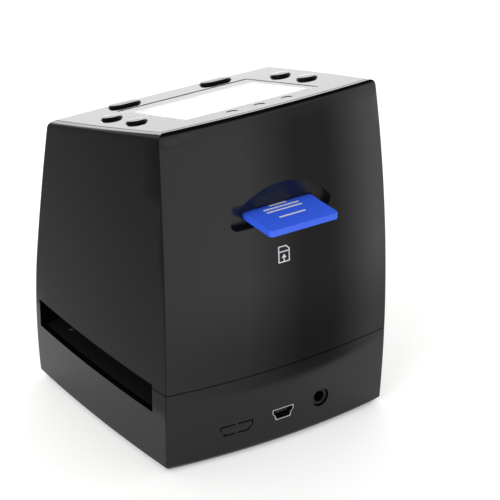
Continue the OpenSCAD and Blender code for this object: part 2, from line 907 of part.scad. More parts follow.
module indicator_lights() {
    color("#d8dde0") for (x = [-light_pitch, 0, light_pitch]) on_panel(x, light_v) {
        translate([0, 0, -light_end]) cylinder(r = light_r, h = light_end, $fn = round_fn);
        translate([0, 0, -panel_t - flange_t])
            cylinder(r = light_r + light_flange, h = flange_t, $fn = round_fn);
    }
}

module status_leds() {
    color("#f2f2e6") for (x = [-light_pitch, 0, light_pitch])
        on_panel(x, light_v, -key_board_w)
            translate([-status_led_w / 2, -status_led_w / 2, 0])
                cube([status_led_w, status_led_w, status_led_t]);
}

// ---------------------------------------------------------------- main board and card

module main_board() {
    color("#1f5a36") difference() {
        translate([-main_board_half_w, main_board_front, main_board_bottom])
            cube([2 * main_board_half_w, main_board_back - main_board_front, board_t]);
        for (p = pillars) post(p.x, p.y, main_board_bottom - 1, main_board_top + 1, screw_hole_r);
    }
}

module board_chips() {
    chip_h = main_board_top;
    left = chip_x - processor_w - chip_gap;
    right = processor_w + chip_gap;
    color("#202124") {
        block(chip_x, 0, chip_h, processor_w, processor_w, chip_t);
        block(right, -4, chip_h, memory_w, memory_d, chip_t);
        block(right, memory_d - 1, chip_h, memory_w - 3, memory_d / 2, chip_t);
        block(left, 4, chip_h, memory_w - 1, memory_w - 1, chip_t);
    }
    color("#b9bec4") {
        post(left, 16, chip_h, chip_h + capacitor_l, capacitor_r);
        post(left, -12, chip_h, chip_h + capacitor_l, capacitor_r);
        post(right + chip_gap, 18, chip_h, chip_h + capacitor_l, capacitor_r);
    }
}

module card_socket() {
    inner_w = card_w + 2 * card_gap;
    outer_w = inner_w + 2 * socket_side;
    cavity_front = card_inner - card_gap;
    color("#c3c7cc") difference() {
        translate([-outer_w / 2, socket_front, main_board_top])
            cube([outer_w, socket_back - socket_front, socket_top - main_board_top]);
        translate([-inner_w / 2, cavity_front, card_bottom - card_gap])
            cube([inner_w, big, card_t + 2 * card_gap]);
    }
}

module card_outline() {
    half_w = card_w / 2;
    corner_y = card_end - card_corner_r;
    difference() {
        union() {
            polygon([
                [-half_w, corner_y], [-half_w, card_inner + card_cut],
                [-half_w + card_cut, card_inner], [half_w, card_inner], [half_w, corner_y]
            ]);
            translate([card_corner_r - half_w, corner_y - 1])
                square([card_w - 2 * card_corner_r, card_corner_r + 1]);
            for (x = [card_corner_r - half_w, half_w - card_corner_r]) translate([x, corner_y])
                circle(r = card_corner_r, $fn = round_fn);
        }
        translate([half_w - card_notch, card_inner + card_l / 2 - 8]) square([card_w, 3]);
    }
}

module contact_row(grow, z0, z1) {
    for (i = [0 : contact_count - 1])
        block(
            (i - (contact_count - 1) / 2) * contact_pitch, card_inner + 1.2 + contact_l / 2, z0,
            contact_w + 2 * grow, contact_l + 2 * grow, z1 - z0
        );
}

module memory_card() {
    color("#2c49d8") difference() {
        translate([0, 0, card_bottom]) linear_extrude(card_t) card_outline();
        contact_row(0.15, card_bottom - 1, card_bottom + contact_sink);
    }
}

module card_contacts() {
    top = card_bottom + contact_sink;
    color("#d9b54a") contact_row(0, top - contact_t, top);
}

// ---------------------------------------------------------------- film guides

module guide_plate(z0, z1) {
    difference() {
        intersection() {
            form(wall + fit, z0, z1);
            translate([-big, channel_front - guide_rib, 0])
                cube([2 * big, channel_w + 2 * guide_rib, big]);
        }
        base_posts(z0 - 1, z1 + 1, base_post_r + fit);
        block(0, axis_y, z0 - 1, gate_w, gate_d, z1 - z0 + 2);
    }
}

module film_guide_upper() {
    color("#131315") difference() {
        union() {
            guide_plate(channel_top, guide_top);
            for (p = pillars) post(p.x, p.y, guide_top, main_board_bottom, pillar_r);
        }
        for (p = pillars)
            post(p.x, p.y, main_board_bottom - board_screw_l, main_board_bottom + 1, screw_hole_r);
        for (p = guide_bosses) {
            post(p.x, p.y, channel_top - 1, guide_top + 1, screw_hole_r);
            post(p.x, p.y, channel_top - 1, channel_top + screw_head_t, screw_head_r + fit);
        }
    }
}

module film_guide_lower() {
    rib_half_w = tongue_x * 1.6;
    color("#131315") difference() {
        union() {
            guide_plate(tray_bottom, channel_h0);
            for (y = [channel_front - guide_rib, channel_back])
                translate([-rib_half_w, y, channel_h0 - guide_t / 2])
                    cube([2 * rib_half_w, guide_rib, channel_h + guide_t / 2 - fit]);
        }
        for (p = tray_posts) {
            post(p.x, p.y, tray_bottom - 1, channel_h0 + 1, screw_hole_r);
            post(p.x, p.y, channel_h0 - screw_head_t, channel_h0 + 1, screw_head_r + fit);
        }
    }
}

// ---------------------------------------------------------------- camera

// A block that narrows evenly from one size at the bottom to another at the top
module narrowing(w0, d0, w1, d1, z0, z1) {
    translate([0, axis_y, 0]) intersection() {
        along_y(-big, big) polygon([[-w0 / 2, z0], [w0 / 2, z0], [w1 / 2, z1], [-w1 / 2, z1]]);
        along_x(2 * big) polygon([[-d0 / 2, z0], [d0 / 2, z0], [d1 / 2, z1], [-d1 / 2, z1]]);
    }
}

module camera_hood() {
    grow = 2 * hood_t;
    color("#18181a") difference() {
        union() {
            block(0, axis_y, guide_top, gate_w + grow + gate_lip, gate_d + grow + gate_lip, hood_t);
            narrowing(
                gate_w + grow, gate_d + grow, hood_top_w + grow, hood_top_d + grow, guide_top,
                hood_top
            );
            block(0, axis_y, hood_top, holder_w, holder_w, holder_l);
        }
        narrowing(gate_w, gate_d, hood_top_w, hood_top_d, guide_top - 0.001, hood_top - hood_t);
        post(0, axis_y, guide_top + 5, holder_top + 1, barrel_r + fit);
        block(
            0, axis_y, holder_top - holder_pocket_l, holder_pocket_w, holder_pocket_w,
            holder_pocket_l + 1
        );
    }
}

module lens_barrel() {
    bottom = hood_top - barrel_below;
    top = bottom + barrel_l - holder_pocket_l;
    color("#0f0f10") difference() {
        post(0, axis_y, bottom, top, barrel_r);
        post(0, axis_y, bottom - 1, top + 1, barrel_r - barrel_t);
    }
}

// A lens with two bulging faces
module lens(z, r, rise) {
    ball_r = (r ^ 2 + rise ^ 2) / (2 * rise);
    translate([0, axis_y, z]) intersection() {
        cylinder(r = r, h = 4 * rise, center = true, $fn = round_fn);
        translate([0, 0, rise + 0.4 - ball_r]) sphere(r = ball_r, $fn = 2 * round_fn);
        translate([0, 0, ball_r - rise - 0.4]) sphere(r = ball_r, $fn = 2 * round_fn);
    }
}

module lens_elements() {
    lens_r = barrel_r - barrel_t - 0.02;
    color([0.6, 0.7, 0.8, 0.5]) {
        lens(hood_top - barrel_below + 2, lens_r, 0.8);
        lens(hood_top + 2.5, lens_r, 0.6);
    }
}

module sensor_board() {
    color("#1f5a36") block(0, axis_y, holder_top, sensor_board_w, sensor_board_w, board_t);
}

module image_sensor() {
    color("#3b3f46") block(0, axis_y, holder_top - sensor_t, sensor_w, sensor_w, sensor_t);
}

// ---------------------------------------------------------------- light box

module light_box() {
    inner_w = light_box_w - 2 * light_box_t;
    inner_d = light_box_d - 2 * light_box_t;
    seat_w = inner_w + 2 * diffuser_seat;
    seat_d = inner_d + 2 * diffuser_seat;
    color("#f1f1ee") difference() {
        block(0, axis_y, light_box_h0, light_box_w, light_box_d, tray_bottom - light_box_h0);
        block(0, axis_y, light_box_h0 - 1, inner_w, inner_d, tray_bottom);
        block(0, axis_y, tray_bottom - diffuser_t, seat_w, seat_d, diffuser_t + 1);
    }
}

module diffuser() {
    wide = light_box_w - 2 * light_box_t + 2 * diffuser_seat - 2 * fit;
    deep = light_box_d - 2 * light_box_t + 2 * diffuser_seat - 2 * fit;
    color("#fbfbf8") block(0, axis_y, tray_bottom - diffuser_t, wide, deep, diffuser_t);
}

module backlight_board() {
    color("#d9dcde") block(0, axis_y, light_box_h0 - board_t, light_box_w, light_box_d, board_t);
}

module backlight_leds() {
    color("#fdf6c8") for (x = [-led_pitch_x, 0, led_pitch_x], y = [-led_pitch_y, 0, led_pitch_y])
        block(x, axis_y + y, light_box_h0, led_w, led_d, led_t);
}

// ---------------------------------------------------------------- ports

module port_board() {
    color("#1f5a36") difference() {
        translate([-port_board_half_w, port_board_front, port_board_bottom])
            cube([2 * port_board_half_w, port_board_back - port_board_front, board_t]);
        for (p = port_posts) post(p.x, p.y, 0, port_board_top + 1, screw_hole_r);
    }
}

module usb_socket() {
    color("#d5d8db") translate([0, 0, usb_mid_h]) difference() {
        along_y(usb_y - usb_l, usb_y) usb_outline(0);
        along_y(usb_y - usb_l + usb_sheet, usb_y + 1) usb_outline(-usb_sheet);
    }
}

module usb_tongue() {
    tongue_l = usb_l - usb_sheet - 1.2;
    color("#1a1a1a") block(
        0, usb_y - usb_l + usb_sheet + tongue_l / 2, usb_mid_h - 0.2, usb_w * 0.56, tongue_l, 1
    );
}

module av_jack() {
    color("#0e0e10") difference() {
        union() {
            translate([-jack_x - jack_body_w / 2, jack_body_front - jack_body_l, port_board_top])
                cube([jack_body_w, jack_body_l, jack_h + jack_nose_r - port_board_top]);
            bar_y(-jack_x, jack_h, jack_body_front - 1, jack_face, jack_nose_r);
        }
        bar_y(-jack_x, jack_h, jack_face - jack_bore_l, jack_face + 1, jack_bore_r);
    }
}

// ---------------------------------------------------------------- cables inside the body

// A flat cable that leaves the main board, loops forwards and returns under the key board
module display_cable() {
    plug_w = key_board_end + plug_t / 2;
    plug_v = (display_flex_y - plug_w * sin(top_tilt)) / cos(top_tilt);
    low_h = main_board_top + plug_t / 2;
    high_h = top_h + plug_v * sin(top_tilt) - plug_w * cos(top_tilt);
    loop_r = (high_h - low_h) / 2;
    color("#c8742e") {
        block(0, display_flex_y, main_board_top, display_flex_w + 1, 3, plug_t);
        on_panel(0, plug_v, -key_board_end - plug_t)
            translate([-display_flex_w / 2 - 0.5, -1.5, 0]) cube([display_flex_w + 1, 3, plug_t]);
        along_x(display_flex_w) intersection() {
            translate([display_flex_y - 1, low_h + loop_r]) difference() {
                circle(r = loop_r + flex_t / 2, $fn = arc_fn);
                circle(r = loop_r - flex_t / 2, $fn = arc_fn);
            }
            translate([display_flex_y - 1 - big, low_h - 1]) square([big, 2 * loop_r + 2]);
        }
    }
}

module port_cable() {
    flex_y = channel_back + guide_rib + 1;
    color("#d8d8d4") {
        block(port_flex_x, flex_y, port_board_top, port_flex_w + 1, port_plug_d, plug_t);
        block(port_flex_x, flex_y - 0.6, main_board_bottom - plug_t, port_flex_w + 1,
            port_plug_d - 1, plug_t);
        block(port_flex_x, flex_y, port_board_top + plug_t / 2, port_flex_w, flex_t,
            main_board_bottom - plug_t / 2 - port_board_top - plug_t / 2);
    }
}

module sensor_cable() {
    flex_y = axis_y + sensor_board_w / 2 - plug_t;
    board_top = holder_top + board_t;
    color("#c8742e") {
        block(0, flex_y, board_top, sensor_flex_w + 1, port_plug_d, plug_t);
        block(0, flex_y, main_board_bottom - plug_t, sensor_flex_w + 1, port_plug_d, plug_t);
        block(0, flex_y, board_top + plug_t / 2, sensor_flex_w, flex_t,
            main_board_bottom - board_top - plug_t);
    }
}

// ---------------------------------------------------------------- feet and screws

module rubber_feet() {
    color("#26262a") for (x = [-foot_x, foot_x], y = [-foot_y, foot_y])
        post(x, y, 0, foot_lift + foot_seat, foot_r);
}

// A screw along Z: its head lies below head_h if it points up, and above it if it points down
module screw(x, y, head_h, length, up) {
    head_z = up ? head_h - screw_head_t : head_h;
    shank_z = up ? head_h : head_h - length;
    difference() {
        union() {
            translate([x, y, head_z]) cylinder(r = screw_head_r, h = screw_head_t, $fn = round_fn);
            translate([x, y, shank_z]) cylinder(r = screw_r, h = length, $fn = round_fn);
        }
        for (turn = [0, 90])
            translate([x, y, up ? head_z : head_z + screw_head_t]) rotate([0, 0, turn])
                cube([1.2 * screw_head_r, screw_r / 2, 0.8 * screw_head_t], center = true);
    }
}

module base_screws() {
    color("#9a9ea3") both_sides()
        screw(base_post_x, base_post_y, base_head_h, base_screw_l, true);
}

module guide_screws() {
    color("#9a9ea3") {
        for (p = tray_posts)
            screw(p.x, p.y, channel_h0 - screw_head_t, guide_screw_l - 1.5, false);
        for (p = guide_bosses)
            screw(p.x, p.y, channel_top + screw_head_t, guide_screw_l - 1, true);
    }
}

module board_screws() {
    color("#9a9ea3") {
        for (p = pillars) screw(p.x, p.y, main_board_top, board_screw_l, false);
        for (p = port_posts) screw(p.x, p.y, port_board_top, board_screw_l - 1, false);
        for (p = key_posts)
            on_panel(p.x, p.y) screw(0, 0, -key_board_end, board_screw_l - 1, true);
    }
}

lower_housing();
upper_housing();
top_panel();
display_window();
display_module();
display_frame();
key_board();
key_switches();
oval_key(oval_keys[0]);  // oval_key_right
oval_key(oval_keys[1]);  // oval_key_left
round_key(round_keys[0]);  // round_key_right_front
round_key(round_keys[1]);  // round_key_right_back
round_key(round_keys[2]);  // round_key_left_front
round_key(round_keys[3]);  // round_key_left_back
indicator_lights();
status_leds();
main_board();
board_chips();
card_socket();
memory_card();
card_contacts();
film_guide_upper();
film_guide_lower();
camera_hood();
lens_barrel();
lens_elements();
sensor_board();
image_sensor();
diffuser();
light_box();
backlight_board();
backlight_leds();
port_board();
usb_socket();
usb_tongue();
av_jack();
display_cable();
port_cable();
sensor_cable();
rubber_feet();
base_screws();
guide_screws();
board_screws();
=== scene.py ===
"""Looks of a desktop scanner for film negatives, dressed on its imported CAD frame."""

from __future__ import annotations

import logging
import math
from collections.abc import Callable, Iterable, Iterator, Sequence
from contextlib import contextmanager
from dataclasses import dataclass
from enum import Enum
from functools import partial
from typing import ClassVar

import bmesh
import bpy
from bmesh.types import BMEdge, BMesh, BMVert
from bpy.types import Material, Mesh, Node, NodeSocket, NodeTree, Object
from mathutils import Matrix, Vector
from mathutils.bvhtree import BVHTree
from mathutils.interpolate import poly_3d_calc


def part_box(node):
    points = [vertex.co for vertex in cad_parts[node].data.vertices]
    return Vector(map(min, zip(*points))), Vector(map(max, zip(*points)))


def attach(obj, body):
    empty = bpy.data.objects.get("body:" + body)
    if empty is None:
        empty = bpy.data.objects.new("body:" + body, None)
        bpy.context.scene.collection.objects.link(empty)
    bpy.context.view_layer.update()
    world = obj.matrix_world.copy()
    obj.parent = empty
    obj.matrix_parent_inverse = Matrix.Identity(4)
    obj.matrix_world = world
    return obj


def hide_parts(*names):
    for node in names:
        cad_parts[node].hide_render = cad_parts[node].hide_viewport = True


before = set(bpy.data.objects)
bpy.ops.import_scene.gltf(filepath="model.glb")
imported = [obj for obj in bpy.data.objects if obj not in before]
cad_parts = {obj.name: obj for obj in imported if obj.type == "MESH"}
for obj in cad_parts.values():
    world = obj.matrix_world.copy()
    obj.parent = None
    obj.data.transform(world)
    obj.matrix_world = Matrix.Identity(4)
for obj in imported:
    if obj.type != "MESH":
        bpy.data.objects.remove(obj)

log = logging.getLogger("scanner")

Pair = tuple[float, float]
Triple = tuple[float, float, float]

MM = 0.001
STATIC_BODY = "scanner"
CARD_BODY = "card"
# How far the small lights are sunk below the panel's face, in mm
LIGHT_SINK = 0.2
# The angle in degrees below which neighbouring faces are one flat or rounded face
FLAT_ANGLE = 0.5
# The angle in degrees above which an edge is eased
SHARP_ANGLE = 40
# How far apart, in metres, two corners still are the same
SAME_CORNER = 1e-6
# How far from a plane, in mm, a corner still lies in it
IN_PLANE = 0.01
# The part of the range from 0 to 1 that the noise in the finishes fills
NOISE_SPAN = (0.3, 0.7)
# The smoothest that a finish may get where handling has polished it
LEAST_ROUGHNESS = 0.01
WHITE = (1, 1, 1, 1)


# ---------------------------------------------------------------- small tools


def linear(code: str) -> tuple[float, float, float, float]:
    """Turns an sRGB hex colour into linear light.

    Args:
        code: The colour as six hex digits after a hash.

    Returns:
        Red, green, blue and an alpha of 1.
    """
    parts = [int(code[i : i + 2], 16) / 255 for i in (1, 3, 5)]
    lit = [c / 12.92 if c <= 0.04045 else ((c + 0.055) / 1.055) ** 2.4 for c in parts]
    return lit[0], lit[1], lit[2], 1.0


def add_node(
    tree: NodeTree,
    kind: str,
    settings: dict[str | int, object] | None = None,
    links: dict[str | int, NodeSocket] | None = None,
) -> Node:
    """Adds one node to a tree with its settings and links.

    Args:
        tree: The shader or geometry tree.
        kind: The node's type name.
        settings: Properties by their lower-case names, and input values by name or number.
        links: The output that feeds an input, by the input's name or number.

    Returns:
        The new node.
    """
    made = tree.nodes.new(kind)
    for name, value in (settings or {}).items():
        if isinstance(name, str) and name[0].islower():
            setattr(made, name, value)
    for name, value in (settings or {}).items():
        if not (isinstance(name, str) and name[0].islower()):
            made.inputs[name].default_value = value
    for name, source in (links or {}).items():
        tree.links.new(source, made.inputs[name])
    return made


def calc(tree: NodeTree, operation: str, *terms: float | NodeSocket) -> NodeSocket:
    """Adds one sum to a tree.

    Args:
        tree: The shader or geometry tree.
        operation: The sum's name.
        terms: Its terms, each a number or a socket.

    Returns:
        The result's socket.
    """
    values = {i: t for i, t in enumerate(terms) if isinstance(t, (int, float))}
    links = {i: t for i, t in enumerate(terms) if not isinstance(t, (int, float))}
    made = add_node(tree, "ShaderNodeMath", {"operation": operation, **values}, links)
    return made.outputs[0]


def noise(tree: NodeTree, place: NodeSocket, size_mm: float, **values: float) -> NodeSocket:
    """Adds noise of a size in mm, with the noise's other values by their names."""
    settings = {"Scale": 1 / (size_mm * MM), **values}
    return add_node(tree, "ShaderNodeTexNoise", settings, {"Vector": place}).outputs["Fac"]


def ranged(
    tree: NodeTree,
    value: NodeSocket,
    low: float,
    high: float,
    start: float = 0.0,
    stop: float = 1.0,
) -> NodeSocket:
    """Carries a value over from the range start to stop to the range low to high."""
    settings = {"From Min": start, "From Max": stop, "To Min": low, "To Max": high}
    return add_node(tree, "ShaderNodeMapRange", settings, {"Value": value}).outputs["Result"]


def two_colours(tree: NodeTree, share: NodeSocket, first: str, second: str) -> NodeSocket:
    """Mixes two hex colours by a share."""
    settings = {"data_type": "RGBA", 6: linear(first), 7: linear(second)}
    return add_node(tree, "ShaderNodeMix", settings, {0: share}).outputs[2]


def mixed(tree: NodeTree, share: NodeSocket, first: NodeSocket, second: NodeSocket) -> NodeSocket:
    """Mixes two shaders by a share."""
    links = {0: share, 1: first, 2: second}
    return add_node(tree, "ShaderNodeMixShader", links=links).outputs[0]


def empty_material(name: str) -> Material:
    """Makes a material whose node tree is still empty."""
    material = bpy.data.materials.new(name)
    material.use_nodes = True
    material.node_tree.nodes.clear()
    return material


def geometry_tree(name: str, inputs: dict[str, str]) -> NodeTree:
    """Starts a geometry tree.

    Args:
        name: The tree's name.
        inputs: The socket kind of each named input, besides the geometry.

    Returns:
        The tree, with its inputs and its geometry output.
    """
    tree = bpy.data.node_groups.new(name, "GeometryNodeTree")
    for label, kind in {"Geometry": "Geometry", **inputs}.items():
        tree.interface.new_socket(label, in_out="INPUT", socket_type="NodeSocket" + kind)
    tree.interface.new_socket("Geometry", in_out="OUTPUT", socket_type="NodeSocketGeometry")
    return tree


def end_tree(tree: NodeTree, shape: NodeSocket, material: Material | NodeSocket) -> None:
    """Ends a geometry tree with real geometry, its material and the output.

    Args:
        tree: The geometry tree.
        shape: The geometry that it has made.
        material: The material, or the input that gives it.
    """
    real = add_node(tree, "GeometryNodeRealizeInstances", links={"Geometry": shape})
    fixed = isinstance(material, Material)
    coated = add_node(
        tree,
        "GeometryNodeSetMaterial",
        {"Material": material} if fixed else None,
        {"Geometry": real.outputs[0], **({} if fixed else {"Material": material})},
    )
    add_node(tree, "NodeGroupOutput", links={"Geometry": coated.outputs[0]})


def baked_rule(
    piece: Object, tree: NodeTree, inputs: dict[str, object], even: bool = False
) -> Mesh:
    """Runs a geometry tree on an object, which is removed together with the tree.

    Args:
        piece: The object that the tree starts from.
        tree: The geometry tree.
        inputs: The value of each named input.
        even: Whether the faces' corners are shaded evenly after it.

    Returns:
        The plain mesh, named like the object.
    """
    rule = piece.modifiers.new("rule", "NODES")
    rule.node_group = tree
    for item in tree.interface.items_tree:
        if item.item_type == "SOCKET" and item.in_out == "INPUT" and item.name in inputs:
            rule[item.identifier] = inputs[item.name]
    if even:
        piece.modifiers.new("even_shade", "WEIGHTED_NORMAL")
    mesh = baked_mesh(piece, piece.name)
    bpy.data.node_groups.remove(tree)
    return mesh


# ---------------------------------------------------------------- finishes


@dataclass(frozen=True)
class Finish:
    """A surface finish: one real material and how its surface was made.

    The base class is a plain moulded or coated surface with a fine relief and a faint cloud of
    uneven gloss, as handling leaves it.
    """

    name: str
    colour: str
    roughness: float = 0.3
    metallic: float = 0.0
    ior: float = 1.5
    grain_mm: float = 0.8
    relief_mm: float = 0.002
    uneven: float = 0.04
    patch_mm: float = 14.0

    def pattern(self, tree: NodeTree, place: NodeSocket) -> dict[str, NodeSocket]:
        """Builds the finish's own pattern.

        Args:
            tree: The material's node tree.
            place: Object coordinates in metres.

        Returns:
            Sockets for any of Base Color, Roughness and Height.
        """
        return {"Height": noise(tree, place, self.grain_mm, Detail=2.0)}

    def cloud(self, tree: NodeTree, place: NodeSocket) -> NodeSocket:
        """Builds the uneven gloss that handling leaves, in soft patches.

        Args:
            tree: The material's node tree.
            place: Object coordinates in metres.

        Returns:
            The roughness socket.
        """
        patch = noise(tree, place, self.patch_mm, Detail=4.0, Roughness=0.6)
        low = max(self.roughness - self.uneven, LEAST_ROUGHNESS)
        return ranged(tree, patch, low, self.roughness + self.uneven, *NOISE_SPAN)

    def shader_settings(self) -> dict[str | int, object]:
        """Returns the shader's own values for this finish."""
        return {"Base Color": linear(self.colour), "Metallic": self.metallic, "IOR": self.ior}

    def make(self) -> Material:
        """Makes the material once and returns it on every later call."""
        known = bpy.data.materials.get(self.name)
        if known:
            return known
        material = empty_material(self.name)
        tree = material.node_tree
        place = add_node(tree, "ShaderNodeTexCoord").outputs["Object"]
        built = self.pattern(tree, place)
        height = built.pop("Height", None)
        built.setdefault("Roughness", self.cloud(tree, place))
        shader = add_node(tree, "ShaderNodeBsdfPrincipled", self.shader_settings(), built)
        if height:
            bump = add_node(
                tree, "ShaderNodeBump", {"Distance": self.relief_mm * MM}, {"Height": height}
            )
            tree.links.new(bump.outputs["Normal"], shader.inputs["Normal"])
        add_node(tree, "ShaderNodeOutputMaterial", links={"Surface": shader.outputs["BSDF"]})
        return material


@dataclass(frozen=True)
class StretchedFinish(Finish):
    """A rolled, folded or drawn metal: the grain runs along one axis."""

    metallic: float = 1.0
    along: Triple = (0.06, 1.0, 1.0)

    def pattern(self, tree: NodeTree, place: NodeSocket) -> dict[str, NodeSocket]:
        """Builds fine lines along the rolling direction, in relief and in gloss."""
        turned = add_node(tree, "ShaderNodeMapping", {"Scale": self.along}, {"Vector": place})
        lines = noise(tree, turned.outputs["Vector"], self.grain_mm, Detail=3.0)
        low, high = self.roughness - self.uneven, self.roughness + self.uneven
        return {"Height": lines, "Roughness": ranged(tree, lines, low, high)}


@dataclass(frozen=True)
class BoardFinish(Finish):
    """A circuit board: green solder mask over copper tracks, which show a shade lighter."""

    track_colour: str = "#2f7a4a"
    cell_mm: float = 3.38
    track: Pair = (0.05, 0.09)

    def pattern(self, tree: NodeTree, place: NodeSocket) -> dict[str, NodeSocket]:
        """Builds tracks as the borders of right-angled cells."""
        cells = add_node(
            tree,
            "ShaderNodeTexVoronoi",
            {"feature": "DISTANCE_TO_EDGE", "Scale": 1 / (self.cell_mm * MM), "Randomness": 0.85},
            {"Vector": place},
        )
        edge = ranged(tree, cells.outputs["Distance"], 1.0, 0.0, *self.track)
        tint = two_colours(tree, edge, self.colour, self.track_colour)
        return {"Base Color": tint, "Height": edge}


@dataclass(frozen=True)
class StripedFinish(Finish):
    """A flat cable: conductors side by side under a film, each a stripe across X."""

    stripe_colour: str = "#8a8a88"
    pitch_mm: float = 1.0

    def pattern(self, tree: NodeTree, place: NodeSocket) -> dict[str, NodeSocket]:
        """Builds the stripes from a wave across the cable."""
        settings = {"bands_direction": "X", "Scale": 1 / (self.pitch_mm * MM) / math.tau * 2}
        wave = add_node(tree, "ShaderNodeTexWave", settings, {"Vector": place}).outputs["Fac"]
        tint = two_colours(tree, wave, self.colour, self.stripe_colour)
        return {"Base Color": tint, "Height": wave}


@dataclass(frozen=True)
class ClearFinish(Finish):
    """A clear moulded or cut material, which lets light through."""

    transmission: float = 1.0

    def shader_settings(self) -> dict[str | int, object]:
        """Returns the shader's own values, with the share of light let through."""
        return {**super().shader_settings(), "Transmission Weight": self.transmission}


@dataclass(frozen=True)
class LitFinish(Finish):
    """A surface lit from behind, a little dimmer in broad soft patches."""

    light: float = 1.0
    dim: float = 0.06
    broad_mm: float = 22.0

    def shader_settings(self) -> dict[str | int, object]:
        """Returns the shader's own values, with the light given off."""
        return {**super().shader_settings(), "Emission Strength": self.light}

    def pattern(self, tree: NodeTree, place: NodeSocket) -> dict[str, NodeSocket]:
        """Builds the faint unevenness of the light behind the surface."""
        patch = noise(tree, place, self.broad_mm, Detail=1.0)
        level = ranged(tree, patch, 1.0 - self.dim, 1.0)
        settings = {"data_type": "RGBA", "blend_type": "MULTIPLY", 0: 1.0, 6: linear(self.colour)}
        tint = add_node(tree, "ShaderNodeMix", settings, {7: level})
        return {"Emission Color": tint.outputs[2]}


# Housings: gloss ABS from a polished mould. The eye sees a deep black that mirrors the room
# softly, with the faint long ripple of a moulded wall.
GLOSS_ABS = Finish("gloss_abs_moulded", "#070708", 0.13, grain_mm=6.0, relief_mm=0.003, uneven=0.03)
# Thumb recess at the card slot: the same ABS, satin, so that it shades softly.
SATIN_ABS = Finish("satin_abs_moulded", "#121216", 0.27, grain_mm=0.3, relief_mm=0.004, uneven=0.04)
# Top panel: acrylic sheet, cast and polished, flatter and glossier than the housings.
POLISHED_ACRYLIC = Finish(
    "black_acrylic_polished",
    "#050506",
    0.06,
    ior=1.49,
    grain_mm=9.0,
    relief_mm=0.0003,
    uneven=0.01,
)
# Keys: the same black, moulded and polished, with a slight wave on each dome.
POLISHED_KEY = Finish(
    "key_plastic_polished", "#060607", 0.06, grain_mm=3.0, relief_mm=0.001, uneven=0.02
)
# Black print on the back of the pane, flat and even.
PANE_PRINT = Finish("screen_print_black", "#0b0b0c", 0.35, grain_mm=0.3, relief_mm=0.001)
# Pane: clear acrylic, which shows the sky as a thin bright film.
CLEAR_ACRYLIC = ClearFinish("clear_acrylic_cut", "#f7fafa", 0.03, ior=1.49, uneven=0.01)
# Picture: a liquid crystal cell lit from behind, showing a blank white field.
LIT_SCREEN = LitFinish("liquid_crystal_lit", "#ffffff", 0.35, light=1.05, dim=0.03)
# Frame round the liquid crystal cell: folded tinned steel.
TINNED_STEEL = StretchedFinish(
    "tinned_steel_folded", "#b9bbbd", 0.32, grain_mm=0.25, relief_mm=0.001, uneven=0.06
)
# Socket shell: nickel on drawn steel, brighter than the frame.
NICKEL = StretchedFinish(
    "nickel_plated_steel", "#d3d3d0", 0.2, grain_mm=0.2, relief_mm=0.0006, uneven=0.05
)
# Card: glossy blue polystyrene with a fine mould grain.
CARD_BLUE = Finish(
    "blue_polystyrene_moulded", "#3a69fd", 0.4, grain_mm=0.35, relief_mm=0.003, uneven=0.05
)
# Marks printed on the card and the housing in white ink.
WHITE_INK = Finish("white_pad_print", "#e9ebee", 0.5, grain_mm=0.15, relief_mm=0.002)
# Contacts: hard gold over nickel.
GOLD = StretchedFinish(
    "gold_plated_contact", "#d9ad4e", 0.22, grain_mm=0.15, relief_mm=0.0005, uneven=0.05
)
# Film guides and camera hood: ABS with a spark-eroded matt face against stray light.
MATT_ABS = Finish(
    "matt_abs_spark_eroded", "#121214", 0.72, grain_mm=0.25, relief_mm=0.012, uneven=0.05
)
# Jack: black glass-filled nylon, slightly waxy.
NYLON = Finish("black_nylon_moulded", "#0a0a0b", 0.38, grain_mm=0.4, relief_mm=0.003)
# Indicator lights: smoked clear polycarbonate; their ends show as dark polished discs.
SMOKED_CLEAR = ClearFinish(
    "smoked_polycarbonate", "#3c4044", 0.08, ior=1.58, uneven=0.02, transmission=0.7
)
RUBBER = Finish("rubber_moulded", "#232326", 0.85, grain_mm=0.3, relief_mm=0.015, uneven=0.05)
ZINC_STEEL = StretchedFinish(
    "zinc_plated_steel", "#a9adb0", 0.34, grain_mm=0.2, relief_mm=0.001, uneven=0.08
)
BOARD = BoardFinish("solder_mask_green", "#14552f", 0.3, relief_mm=0.02)
CHIP_RESIN = Finish("chip_epoxy_moulded", "#1d1e20", 0.62, grain_mm=0.12, relief_mm=0.006)
CAN_ALUMINIUM = StretchedFinish(
    "capacitor_can_aluminium", "#c4c7ca", 0.3, grain_mm=0.2, relief_mm=0.001, uneven=0.06
)
LENS_BLACK = Finish(
    "aluminium_anodised_black", "#141416", 0.42, 0.6, grain_mm=0.15, relief_mm=0.004
)
LENS_GLASS = ClearFinish("coated_lens_glass", "#e6f2f4", 0.01, ior=1.6, uneven=0.005)
SENSOR_FACE = Finish(
    "sensor_cover_glass", "#2a2440", 0.08, ior=1.52, grain_mm=0.5, relief_mm=0.0005, uneven=0.02
)
OPAL = LitFinish("opal_diffuser_sheet", "#f2f2ee", 0.5, light=0.15)
WHITE_ABS = Finish("white_abs_moulded", "#dcdcd6", 0.5, grain_mm=0.5, relief_mm=0.004)
LAMP_PLATE = StretchedFinish(
    "aluminium_board_rolled", "#bfc2c4", 0.36, grain_mm=0.3, relief_mm=0.001, uneven=0.06
)
LAMP_RESIN = LitFinish("lamp_phosphor_resin", "#f0e3a0", 0.3, light=0.2)
STATUS_RESIN = LitFinish("lamp_resin_clear", "#ecece2", 0.2, light=0.1)
AMBER_FLEX = StripedFinish(
    "polyimide_flex", "#a9601c", 0.3, relief_mm=0.006, stripe_colour="#c9822f", pitch_mm=0.8
)
WHITE_FLEX = StripedFinish(
    "white_flat_cable", "#d5d5cf", 0.35, relief_mm=0.01, stripe_colour="#a9a9a6", pitch_mm=1.0
)
